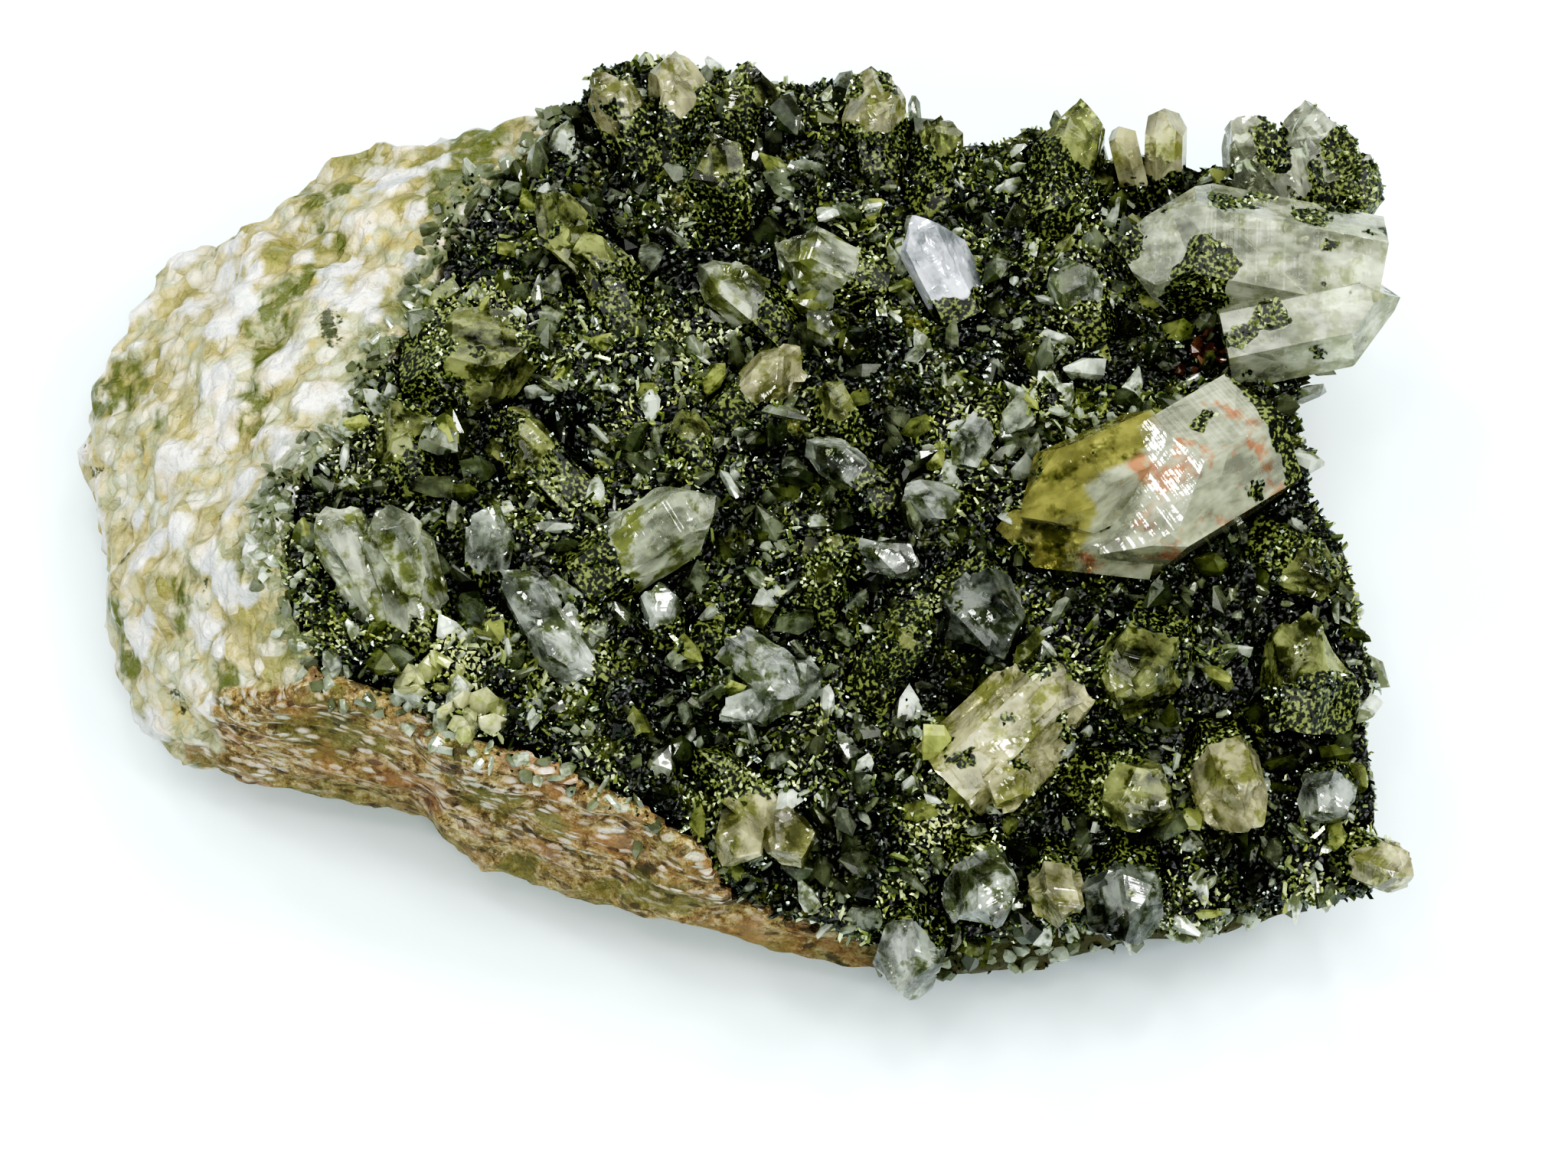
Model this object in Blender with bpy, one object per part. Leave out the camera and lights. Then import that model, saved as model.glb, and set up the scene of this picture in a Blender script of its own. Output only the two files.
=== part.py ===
"""Epidote and quartz crystal cluster on its host rock, a hand specimen about 95 mm long.

Frame: metres, +Z up, +X along the length, origin under the middle of the specimen on the surface it
rests on. Pieces: the host rock, the dark epidote crust in a shallow bed on top of it, and the larger
quartz crystals that stand in the crust. Crystals that grew into each other are one piece.
"""
import math
import random

import bmesh
import bpy
from mathutils import Vector, noise

MM = 0.001
GAP = 0.3                # clearance between a crystal and what it stands in, mm
SPOKES = 72              # directions in which the rock is lofted
MIDDLE = (-1.1, 0.6)     # middle of the whole specimen in the coordinates of the lists below, mm

# Heights, mm
CRUST_TOP = 22.0         # level of the crust over the left half
CRUST_THICKNESS = 4.6
EDGE_DROP = 0.8          # the crust's edge is widest this far below its level
EDGE_INSET = 1.4         # and this much narrower at its underside
FRONT_START = -4.0       # the crust falls towards the front from this y on
FRONT_SLOPE = 0.32
RIGHT_SLOPE = 0.08       # and a little towards the right
LIP_RISE = 0.7           # height of the rock's lower edge, as a share of its widest line's height
BASE_SHARE = 0.62        # reach of the flat base, as a share of the rock's reach
LIP_SHARE = 0.93
UNDERSIDE_RISE = 0.4     # height half way out along the underside, as a share of the lip's
WALL_STEPS = (0.28, 0.55, 0.8)       # rings of the rock's wall and of its top, as shares of their run
TOP_STEPS = (0.35, 0.7, 1.0)
TOP_BULGE = 0.9          # below 1 the rock's top swells before it reaches the crust
UNDER_CRUST = 1.5        # how far the rock's top runs in under the crust before the bed is cut

# Working blocks that cut the bed and the crust, mm
BLOCK_FOOT = -5.0
BLOCK_HEAD = 60.0
SHEET_REACH = (52.0, 42.0)           # half length and half depth of the crust's working sheets
RELIEF_SPACING = 4.6
BED_SPACING = 10.0
BED_SPREAD = 1.5 * GAP
WELD = 0.003

# Relief, mm
ROCK_LUMP = 1.3
ROCK_LUMP_SIZE = 4.5
WALL_LUMP = 0.8          # the same on the rock's sides, outwards
LEDGE = 1.3              # steps of the layered wall
LEDGE_HEIGHT = 3.2
LEDGE_LENGTH = 6.0
TOP_PATTERN = Vector((0, 0, 40))     # moves the top's lumps away from those of the sides
CRUST_LUMP = 1.1
CRUST_LUMP_SIZE = 5.0
CRUST_PATTERN = 7.0      # which slice of the lump pattern the crust takes
THINNEST = 1.2           # what is left of the crust under its deepest hollow

# Quartz: the three big and three small faces of its tip lean this far from the axis
TIP_LEAN = math.radians(51.8)
PRISM_UNEVEN = 0.14      # how unequal the six prism faces are, as a share of the width
TIP_UNEVEN = 0.16
TIP_ASIDE = 0.12         # how far the tip may lie off the axis, as a share of the width
CUT_TOLERANCE = 1e-5
SHORTEST_EDGE = 0.02     # edges of a crystal shorter than this are closed, mm
ROOT = 2.5               # length of a crystal that is hidden in the crust, mm
SLIM_WIDTH = 4.0         # up to this width a crystal's tip has only three faces

# Edge of the crust in plan, mm, anticlockwise from the left
CRUST_EDGE = [
    (-31.5, -2), (-31.8, -7), (-31, -10), (-29.5, -12), (-28.5, -15), (-24, -16), (-22, -17.3),
    (-19, -19.5), (-15, -20.4), (-12, -21), (-9, -22.3), (-5.7, -23.8), (-3, -25.3), (-1.5, -27.4),
    (0, -28.5), (2.5, -29.3), (5.5, -30), (10.5, -31.5), (13.5, -31.5), (17, -30.5), (22, -29.5),
    (26.5, -29), (31, -29.5), (36.5, -27.5), (41.5, -27), (45, -26), (44, -24.5), (44, -20.5),
    (43.5, -15), (44.5, -12.5), (43.5, -10), (43, -6.5), (42.5, -3.5), (40, 0), (40.5, 4), (39.5, 6),
    (40, 9), (40.5, 11), (42, 14), (44, 20), (46, 25.5), (45, 28.5), (41, 31), (36, 29), (33, 27.5),
    (31, 28), (27, 28.5), (24, 30.5), (21.5, 31), (19, 29.5), (14.5, 29), (11.5, 31.5), (8.5, 34),
    (4.5, 34), (0.5, 34), (-5, 36), (-11, 35.5), (-13, 31), (-15.5, 27), (-18.5, 24.5),
    (-20.5, 20.5), (-23, 13), (-26, 9), (-27, 4), (-30, 1),
]
# Widest line of the rock and the shoulder above it, where its wall turns into its top: x, y, z in mm
ROCK_WIDEST = [
    (-47, -3, 7), (-44.5, -8.5, 6.5), (-43, -12.5, 6), (-40, -14.5, 6), (-34, -17, 6),
    (-30, -17.5, 6), (-24, -18.5, 6), (-20, -21.5, 6), (-15, -24, 6), (-11.5, -25.5, 6),
    (-8, -26.5, 6), (-0.5, -28, 6), (6, -29.4, 5), (12, -30.4, 4.5), (20, -29.2, 4.5), (28, -28, 5),
    (36, -26.4, 5), (42.6, -24.6, 6), (42.4, -19, 7), (42.6, -12, 8), (41.4, -6, 8), (39.2, -1, 8),
    (38.8, 4, 9), (39, 10, 9), (41.6, 15, 9), (44, 23, 10), (43.6, 27.6, 10), (36, 27.8, 10),
    (30, 27, 10), (24, 29.2, 10), (19, 28.4, 10), (13, 28.4, 10), (8, 32.4, 10), (2, 32.8, 10),
    (-5, 34.4, 10), (-10, 34.4, 11), (-14.5, 34.8, 13), (-20.2, 32.8, 13), (-24, 33, 13),
    (-29, 32.5, 12), (-33, 31, 12), (-36.5, 28.5, 11), (-39.7, 25.5, 10), (-44.5, 25, 9),
    (-47, 20.3, 8), (-49, 13.7, 7), (-49.3, 8, 7), (-49, 6, 7), (-47, 2, 7),
]
ROCK_SHOULDER = [
    (-46, -3, 10), (-43.5, -8, 11), (-41.5, -11.5, 12), (-38.5, -13.8, 14), (-34, -16, 17),
    (-29.5, -17, 20.5), (-24.5, -17.6, 21), (-20, -21, 20.5), (-15.5, -22.4, 20), (-12.7, -22.9, 19.8),
    (-9.4, -24.2, 19.3), (-6.2, -25.6, 18), (-3.7, -27.1, 16.5), (-1.2, -28, 14.8), (2, -28.6, 13),
    (12, -29.6, 10), (20, -28.4, 10), (28, -27.2, 10), (36, -25.6, 11), (41.8, -24, 13),
    (41.6, -19, 15), (41.8, -12, 17), (40.6, -6, 18), (38.2, -1, 18), (37.8, 4, 18), (38, 10, 18),
    (40.6, 15, 18), (43, 22.5, 18), (42.4, 26.6, 18), (36, 26.8, 18), (30, 26, 18), (24, 28.2, 18),
    (19, 27.4, 18), (13, 27.4, 18), (8, 31.4, 18), (2, 31.8, 18), (-5, 33.4, 18.5), (-10, 33.4, 18.5),
    (-14.5, 33.6, 18.5), (-20, 31.5, 18), (-23.5, 31.6, 17.5), (-28, 31.3, 16.5), (-32, 29.8, 15.5),
    (-35.5, 27.3, 14.5), (-38.5, 24.3, 14), (-43, 24, 12), (-45.5, 20, 11), (-47.5, 13.5, 10.5),
    (-48, 8, 10.5), (-46.2, 3, 10.5),
]
# Dark hollows in the crust: x, y, radius, depth in mm
HOLLOWS = [(33, -25, 3.4, 3.2), (3.5, -27.5, 2.4, 3.0), (20, 10, 4.0, 1.6), (7, -2, 3.5, 1.4)]

# Quartz crystals: piece, foot, tip, width in mm, flatness, finish. Rows of one piece grew together.
CRYSTALS = [
    ("quartz_giant", (43, 17.5, 20.2), (27, 20, 22), 9.5, 0.85, "milky_quartz"),
    ("quartz_giant", (37, 12.8, 19.8), (47.3, 14.3, 21.5), 6, 0.9, "milky_quartz"),
    ("quartz_peach", (33.9, 2.4, 20.4), (24.2, -5.2, 22.8), 10, 0.85, "peach_quartz"),
    ("quartz_peach", (26.6, 1, 21.2), (19.2, -4, 23.6), 7, 0.9, "peach_quartz"),
    ("quartz_peach", (26, -4.4, 19.6), (17.6, -4, 20.8), 5, 0.8, "peach_quartz"),
    ("quartz_smoky", (16.4, -8.6, 18.4), (17.6, -13.6, 20), 5.6, 0.9, "smoky_quartz"),
    ("quartz_bead_upper", (17, 4.5, 20.6), (15.2, 0.6, 22.6), 2.8, 0.9, "clear_quartz"),
    ("quartz_bead_lower", (14.4, -1.2, 19.8), (11, -2, 22), 3.2, 0.9, "clear_quartz"),
    ("quartz_olive_block", (39.2, -14, 16), (40, -9.4, 19), 6.5, 0.9, "olive_quartz"),
    ("quartz_amber_edge", (38, -4.2, 18), (41.2, -7.6, 20.4), 4.2, 0.9, "olive_quartz"),
    ("quartz_grey_corner", (40, 26, 18.6), (35.4, 29.6, 23), 6, 0.8, "milky_quartz"),
    ("quartz_grey_corner", (43, 25.6, 18.4), (41.2, 31.6, 22.6), 6, 0.8, "milky_quartz"),
    ("quartz_grey_corner", (44.8, 25.6, 18.6), (46.4, 28, 21), 4.5, 0.9, "milky_quartz"),
    ("quartz_twin_points", (28.7, 26.4, 19.4), (27.4, 28.6, 23.6), 2.4, 0.95, "clear_quartz"),
    ("quartz_twin_points", (31, 27, 19.4), (30.8, 29.6, 24.4), 2.8, 0.95, "clear_quartz"),
    ("quartz_crown", (23.2, 26.4, 20), (24, 30.6, 24), 5, 0.9, "olive_quartz"),
    ("quartz_crown", (24, 25, 20), (20.8, 20.8, 22.8), 4.5, 0.85, "olive_quartz"),
    ("quartz_silver_face", (14.9, 16.8, 20.4), (12.2, 20.6, 24), 5, 0.6, "milky_quartz"),
    ("quartz_clear_north", (24.5, 15.4, 19.8), (22.8, 17.7, 23), 3.6, 0.9, "clear_quartz"),
    ("quartz_grey_left", (1, 14, 21.2), (-3, 16.4, 24), 4.6, 0.85, "smoky_quartz"),
    ("quartz_grey_right", (7.4, 16.9, 20.8), (2, 18.2, 23.6), 4.6, 0.85, "smoky_quartz"),
    ("quartz_grey_low", (7, 11.6, 20.6), (4.6, 13, 23), 3, 0.9, "smoky_quartz"),
    ("quartz_pillar", (-1.4, 22, 21.6), (-2.4, 25, 27.2), 4.2, 0.9, "olive_quartz"),
    ("quartz_top_cream", (-8.1, 28.6, 21), (-10.8, 32.6, 25.4), 4.2, 0.9, "cream_quartz"),
    ("quartz_top_cream", (-5.2, 30, 21), (-4.8, 34.4, 25), 4.4, 0.9, "cream_quartz"),
    ("quartz_top_olive", (0, 29.6, 21), (0.6, 33.2, 24.6), 4, 0.9, "olive_quartz"),
    ("quartz_top_pale", (9.6, 28.6, 20.4), (9, 33, 24.6), 4.6, 0.9, "cream_quartz"),
    ("quartz_top_yellow", (13.6, 25.6, 20.4), (14.6, 29.6, 23.8), 3.4, 0.9, "olive_quartz"),
    ("quartz_arch", (-10, 17.4, 21.4), (-15.4, 21.6, 24.8), 5.5, 0.7, "olive_quartz"),
    ("quartz_arch", (-8.6, 14.2, 21.4), (-11.6, 18.4, 24.8), 4, 0.8, "olive_quartz"),
    ("quartz_olive_west", (-20.7, 9, 21), (-14.8, 10.2, 25), 7, 0.85, "olive_quartz"),
    ("quartz_brown_west", (-22.6, 0.8, 21), (-25, 4.6, 24.6), 4.6, 0.9, "olive_quartz"),
    ("quartz_wavy_west", (-13.4, 0.6, 21.2), (-17.6, 3.8, 24.4), 4.8, 0.8, "olive_quartz"),
    ("quartz_frost", (-25, -9.4, 21), (-28.6, -4, 25), 4.2, 0.85, "milky_quartz"),
    ("quartz_frost", (-22.4, -11, 21), (-24.4, -4.2, 26), 4.6, 0.85, "milky_quartz"),
    ("quartz_small_west", (-17.8, -7.4, 21), (-17, -3.8, 24.6), 3, 0.9, "clear_quartz"),
    ("quartz_blades", (-12.6, -12.8, 20.6), (-16.2, -8, 24), 4, 0.6, "clear_quartz"),
    ("quartz_blades", (-10.4, -14.2, 20.2), (-15, -13, 22.8), 3, 0.7, "clear_quartz"),
    ("quartz_long_milky", (-8.8, -7, 21.8), (-1.8, -3.6, 25.4), 5.4, 0.85, "milky_quartz"),
    ("quartz_nub", (-5.4, -11, 20.2), (-5.8, -9, 23), 2.8, 0.9, "clear_quartz"),
    ("quartz_cream_middle", (0.5, 6.7, 21.4), (3.9, 8.9, 24.2), 3.6, 0.9, "cream_quartz"),
    ("quartz_green_small", (-3.4, 1.2, 21), (-4.4, 4.2, 24), 3, 0.9, "olive_quartz"),
    ("quartz_yellow_middle", (7.4, 4.4, 20.4), (5.6, 6.4, 23.6), 3.2, 0.9, "olive_quartz"),
    ("quartz_grey_middle", (8.4, 0.2, 20.6), (4.6, 2.4, 23.2), 3.4, 0.85, "clear_quartz"),
    ("quartz_obelisk", (5.8, -8.8, 19.8), (5.6, -6, 25), 3, 0.9, "olive_quartz"),
    ("quartz_arrow", (8.4, -5.2, 20), (12, -7.2, 22.4), 3.4, 0.8, "clear_quartz"),
    ("quartz_coated_point", (9.8, -13, 18), (12.8, -9.6, 21.8), 4.2, 0.9, "olive_quartz"),
    ("quartz_crossed_pair", (-0.6, -12.4, 19.6), (4.2, -17, 22), 4.2, 0.85, "clear_quartz"),
    ("quartz_crossed_pair", (2.6, -14.8, 18.2), (-1.2, -18.2, 20.4), 3.6, 0.85, "clear_quartz"),
    ("quartz_front_group", (1, -22.2, 16.4), (-3.2, -20, 19.4), 4.6, 0.5, "cream_quartz"),
    ("quartz_front_group", (0.2, -23.4, 15.8), (-0.4, -28, 18.6), 3.4, 0.9, "cream_quartz"),
    ("quartz_front_group", (2.4, -23.6, 15.4), (4, -27.2, 18), 3.4, 0.9, "cream_quartz"),
    ("quartz_long_cream", (16.1, -19.2, 16.2), (23.2, -13.4, 19.8), 6.2, 0.85, "cream_quartz"),
    ("quartz_long_cream", (20.2, -18.2, 16), (17, -23.8, 19), 3.4, 0.9, "cream_quartz"),
    ("quartz_grey_green", (28.4, -11, 17), (26.2, -17.2, 20), 5.4, 0.85, "olive_quartz"),
    ("quartz_amber_tooth", (33, -18.6, 14.6), (33.8, -25, 18), 4.6, 0.85, "cream_quartz"),
    ("quartz_olive_clear", (25.4, -20.6, 14.4), (29.4, -23.8, 17.8), 5.2, 0.85, "olive_quartz"),
    ("quartz_grey_fang", (26.2, -27, 12.4), (25.8, -31.8, 15.2), 5, 0.85, "smoky_quartz"),
    ("quartz_clear_shield", (16, -26.4, 13.8), (17.6, -31.8, 17.6), 5, 0.6, "clear_quartz"),
    ("quartz_brown_shard", (21.4, -26.4, 12.8), (21.4, -31, 15.6), 3.8, 0.8, "peach_quartz"),
    ("quartz_south_block", (11.8, -30.2, 11), (10.6, -34.8, 13), 4.8, 0.9, "clear_quartz"),
    ("quartz_east_grey", (40.6, -20, 13.6), (39.2, -23.6, 16.6), 3.8, 0.85, "clear_quartz"),
    ("quartz_corner", (43, -24.4, 11.8), (46.2, -27, 14), 3.4, 0.9, "cream_quartz"),
]

# Growths fused with the crust, mm: crystals that the epidote covers, bundles of epidote prisms, and
# points along the crust's free edge. INSET keeps them off the edge and ROOM off each other.
SUNK = 0.6               # how far a growth's foot lies under the crust's surface
COATED_COUNT = 18
COATED_WIDTH = (3.4, 5.6)
COATED_LENGTH = (2.6, 5.0)
COATED_LEAN = 0.55
COATED_INSET = 4.4
COATED_ROOM = 4.4
COATED_ROOT = 2.2
COATED_SEED = 1100
POINT_COUNT = 30
POINT_WIDTH = (1.1, 1.9)
POINT_LENGTH = (2.4, 4.6)
POINT_LEAN = 0.75
POINT_INSET = 2.6
POINT_ROOM = 2.4
POINT_ROOT = 1.4
POINT_SIDES = 4
POINT_SEED = 900
RIM_SPOKES = (19, 57)    # the spokes, from the left anticlockwise, where the crust's edge is free
RIM_STEP = 3
RIM_INSET = 1.6
RIM_DROP = (1.2, 2.4)
RIM_WIDTH = (2.2, 3.6)
RIM_LENGTH = (1.8, 3.0)
RIM_TURN = 0.5
RIM_RISE = (-0.1, 1.0)
RIM_ROOT = 1.0
RIM_SEED = 700
RIM_CLEARANCE = 0.4      # between a rim point and a quartz crystal, in plan
CRUST_CLEARANCE = 0.2    # the same for the other growths, as a share of their room
GROWTH_SEED = 44

# Finish: base colour, roughness, transmission
FINISHES = {
    "host_rock": ((0.62, 0.62, 0.48), 0.65, 0.0),
    "epidote": ((0.030, 0.040, 0.012), 0.25, 0.0),
    "milky_quartz": ((0.80, 0.83, 0.78), 0.15, 0.6),
    "clear_quartz": ((0.82, 0.86, 0.85), 0.05, 0.9),
    "smoky_quartz": ((0.35, 0.38, 0.36), 0.08, 0.8),
    "olive_quartz": ((0.48, 0.50, 0.20), 0.12, 0.7),
    "cream_quartz": ((0.78, 0.74, 0.58), 0.18, 0.5),
    "peach_quartz": ((0.84, 0.72, 0.58), 0.12, 0.6),
}
QUARTZ_IOR = 1.54
EPIDOTE_IOR = 1.75


# Small helpers
def fresh_collection(name):
    """A collection linked to the scene."""
    collection = bpy.data.collections.new(name)
    bpy.context.scene.collection.children.link(collection)
    return collection


def finish_material(name):
    """The Principled material of one finish."""
    colour, roughness, transmission = FINISHES[name]
    material = bpy.data.materials.get(name)
    if material is None:
        material = bpy.data.materials.new(name)
        material.use_nodes = True
        shader = material.node_tree.nodes["Principled BSDF"]
        shader.inputs["Base Color"].default_value = (*colour, 1.0)
        shader.inputs["Roughness"].default_value = roughness
        shader.inputs["Metallic"].default_value = 0.0
        shader.inputs["Transmission Weight"].default_value = transmission
        shader.inputs["IOR"].default_value = EPIDOTE_IOR if name == "epidote" else QUARTZ_IOR
        material.diffuse_color = (*colour, 1.0)
    return material


def place_mesh(name, bm, collection, finish):
    """An object in a collection from a bmesh in millimetres."""
    bmesh.ops.recalc_face_normals(bm, faces=bm.faces[:])
    bmesh.ops.translate(bm, vec=(-MIDDLE[0], -MIDDLE[1], 0), verts=bm.verts[:])
    bmesh.ops.scale(bm, vec=(MM, MM, MM), verts=bm.verts[:])
    mesh = bpy.data.meshes.new(name)
    bm.to_mesh(mesh)
    bm.free()
    mesh.materials.append(finish_material(finish))
    item = bpy.data.objects.new(name, mesh)
    collection.objects.link(item)
    return item


def as_cutter(item):
    """Marks an object that only shapes others."""
    item.hide_render = True
    item.display_type = "WIRE"
    return item


def combine(item, operation, other=None, group=None):
    """A Boolean modifier with one object or with every object of a collection."""
    modifier = item.modifiers.new(operation.title(), "BOOLEAN")
    modifier.operation = operation
    modifier.solver = "EXACT"
    if group is not None:
        modifier.operand_type = "COLLECTION"
        modifier.collection = group
    else:
        modifier.object = other
    return modifier


def ease(start, end, value):
    """A smooth step from 0 at start to 1 at end."""
    share = min(1.0, max(0.0, (value - start) / (end - start)))
    return share * share * (3 - 2 * share)


# Levels and outlines
def crust_level(x, y):
    """Height of the crust's surface without its relief."""
    fall = FRONT_SLOPE * max(0.0, FRONT_START - y) * ease(-20, 5, x)
    return CRUST_TOP - fall - RIGHT_SLOPE * max(0.0, x)


def around(points):
    """Reads an outline at every spoke: the radius, and the height where the points have one."""
    polar = sorted((math.atan2(p[1], p[0]), math.hypot(p[0], p[1]), *p[2:]) for p in points)
    turn = 2 * math.pi
    polar = [(polar[-1][0] - turn, *polar[-1][1:])] + polar + [(polar[0][0] + turn, *polar[0][1:])]
    rows = []
    for spoke in range(SPOKES):
        heading = -math.pi + turn * spoke / SPOKES
        after = next(i for i, row in enumerate(polar) if row[0] > heading)
        low, high = polar[after - 1], polar[after]
        share = (heading - low[0]) / (high[0] - low[0])
        rows.append(tuple(a + (b - a) * share for a, b in zip(low[1:], high[1:])))
    return rows


def spoke_point(spoke, radius, height):
    """The point at a radius and a height on one spoke."""
    heading = -math.pi + 2 * math.pi * spoke / SPOKES
    return Vector((radius * math.cos(heading), radius * math.sin(heading), height))


def lump(point, size):
    """A soft uneven value between about -1 and 1 that depends on the place alone."""
    return noise.noise(point / size) + 0.5 * noise.noise(point / size * 2.3)


def loft(rings, bottom, top):
    """A closed body from rings of equally many points, with a centre point under and over them."""
    bm = bmesh.new()
    loops = [[bm.verts.new(point) for point in ring] for ring in rings]
    low = bm.verts.new(bottom)
    high = bm.verts.new(top)
    count = len(loops[0])
    for spoke in range(count):
        following = (spoke + 1) % count
        bm.faces.new((low, loops[0][following], loops[0][spoke]))
        bm.faces.new((high, loops[-1][spoke], loops[-1][following]))
        for lower, upper in zip(loops, loops[1:]):
            bm.faces.new((lower[spoke], lower[following], upper[following], upper[spoke]))
    bmesh.ops.triangulate(bm, faces=bm.faces[:])
    return bm


# Host rock
def rock_blank():
    """The rock before its bed is cut: a flat base, an undercut lip, a layered wall and a lumpy top."""
    widest = around(ROCK_WIDEST)
    shoulder = around(ROCK_SHOULDER)
    border = around(CRUST_EDGE)
    rings = [[] for _ in range(11)]
    for spoke in range(SPOKES):
        reach, height = widest[spoke]
        top_reach, top_height = shoulder[spoke]
        lip = reach * LIP_SHARE, height * LIP_RISE
        base = reach * BASE_SHARE
        middle = (base + lip[0]) / 2, lip[1] * UNDERSIDE_RISE
        profile = [(base, 0.0), middle, lip, (reach, height)]
        for share in WALL_STEPS:
            profile.append((reach + (top_reach - reach) * share, height + (top_height - height) * share))
        profile.append((top_reach, top_height))
        inner = min(border[spoke][0] - UNDER_CRUST, top_reach * LIP_SHARE)
        edge = spoke_point(spoke, inner, 0)
        level = crust_level(edge.x, edge.y)
        for share in TOP_STEPS:
            radius = top_reach + (inner - top_reach) * share
            bulge = math.sin(math.pi / 2 * share) ** TOP_BULGE
            profile.append((radius, top_height + (level - top_height) * bulge))
        for row, (radius, z) in enumerate(profile):
            place = spoke_point(spoke, radius, z)
            if 2 <= row <= 6:
                layers = Vector((place.x / LEDGE_LENGTH, place.y / LEDGE_LENGTH, z / LEDGE_HEIGHT))
                radius += LEDGE * noise.noise(layers)
            if 1 <= row <= 7:
                radius += WALL_LUMP * lump(place, ROCK_LUMP_SIZE)
            if row >= 7:
                calm = 0.5 if row == len(profile) - 1 else 1.0
                z += ROCK_LUMP * calm * lump(place + TOP_PATTERN, ROCK_LUMP_SIZE)
            rings[row].append(spoke_point(spoke, radius, z))
    return loft(rings, Vector((0, 0, 0)), Vector((0, 0, CRUST_TOP)))


# Crust
def crust_relief(place):
    """Lumps, ledges and hollows of the crust, as a change of height."""
    ground = Vector((place.x, place.y, CRUST_PATTERN))
    change = CRUST_LUMP * lump(ground, CRUST_LUMP_SIZE)
    for x, y, radius, depth in HOLLOWS:
        away = math.hypot(place.x - x, place.y - y)
        change -= depth * (1 - ease(radius * 0.4, radius * 1.5, away))
    return max(change, THINNEST - CRUST_THICKNESS)


def outline_block(spread):
    """A tall block with the crust's outline, widened by spread, that narrows under the crust's edge."""
    rings = []
    levels = [
        (EDGE_INSET, lambda x, y: BLOCK_FOOT),
        (EDGE_INSET, lambda x, y: crust_level(x, y) - CRUST_THICKNESS),
        (0.0, lambda x, y: crust_level(x, y) - EDGE_DROP),
        (0.0, lambda x, y: BLOCK_HEAD),
    ]
    for inset, height in levels:
        ring = []
        for x, y in CRUST_EDGE:
            place = Vector((x, y, 0))
            place += place.normalized() * (spread - inset)
            place.z = height(x, y)
            ring.append(place)
        rings.append(ring)
    return loft(rings, Vector((0, 0, BLOCK_FOOT)), Vector((0, 0, BLOCK_HEAD)))


def sheet_block(spacing, height, far_side):
    """A slab over the whole crust: one side is a grid at height(x, y), the other is level at far_side."""
    bm = bmesh.new()
    across, deep = (round(2 * reach / spacing) for reach in SHEET_REACH)
    bmesh.ops.create_grid(bm, x_segments=across, y_segments=deep, size=1.0)
    sheet = bm.verts[:]
    bmesh.ops.scale(bm, vec=(*SHEET_REACH, 1), verts=sheet)
    raised = bmesh.ops.extrude_face_region(bm, geom=bm.faces[:])["geom"]
    level = [v for v in raised if isinstance(v, bmesh.types.BMVert)]
    for vertex in sheet:
        vertex.co.z = height(vertex.co.x, vertex.co.y)
    for vertex in level:
        vertex.co.z = far_side
    bmesh.ops.triangulate(bm, faces=bm.faces[:])
    return bm


def relief_height(x, y):
    """Top of the crust with its relief."""
    return crust_level(x, y) + crust_relief(Vector((x, y, 0)))


def bed_height(x, y):
    """Floor of the bed that the crust lies in."""
    return crust_level(x, y) - CRUST_THICKNESS


def settle(item):
    """Applies an object's Booleans and keeps its largest body."""
    evaluated = item.evaluated_get(bpy.context.evaluated_depsgraph_get())
    mesh = bpy.data.meshes.new_from_object(evaluated)
    item.modifiers.clear()
    item.data = mesh
    bm = bmesh.new()
    bm.from_mesh(mesh)
    bmesh.ops.remove_doubles(bm, verts=bm.verts[:], dist=WELD * MM)
    bmesh.ops.dissolve_degenerate(bm, edges=bm.edges[:], dist=WELD * MM)
    bodies = []
    waiting = set(bm.faces)
    while waiting:
        body = [waiting.pop()]
        for face in body:
            for edge in face.edges:
                for other in edge.link_faces:
                    if other in waiting:
                        waiting.remove(other)
                        body.append(other)
        bodies.append(body)
    bodies.sort(key=len)
    for body in bodies[:-1]:
        bmesh.ops.delete(bm, geom=body, context="FACES")
    bmesh.ops.triangulate(bm, faces=bm.faces[:])
    bm.to_mesh(mesh)
    bm.free()
    return item


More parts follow.
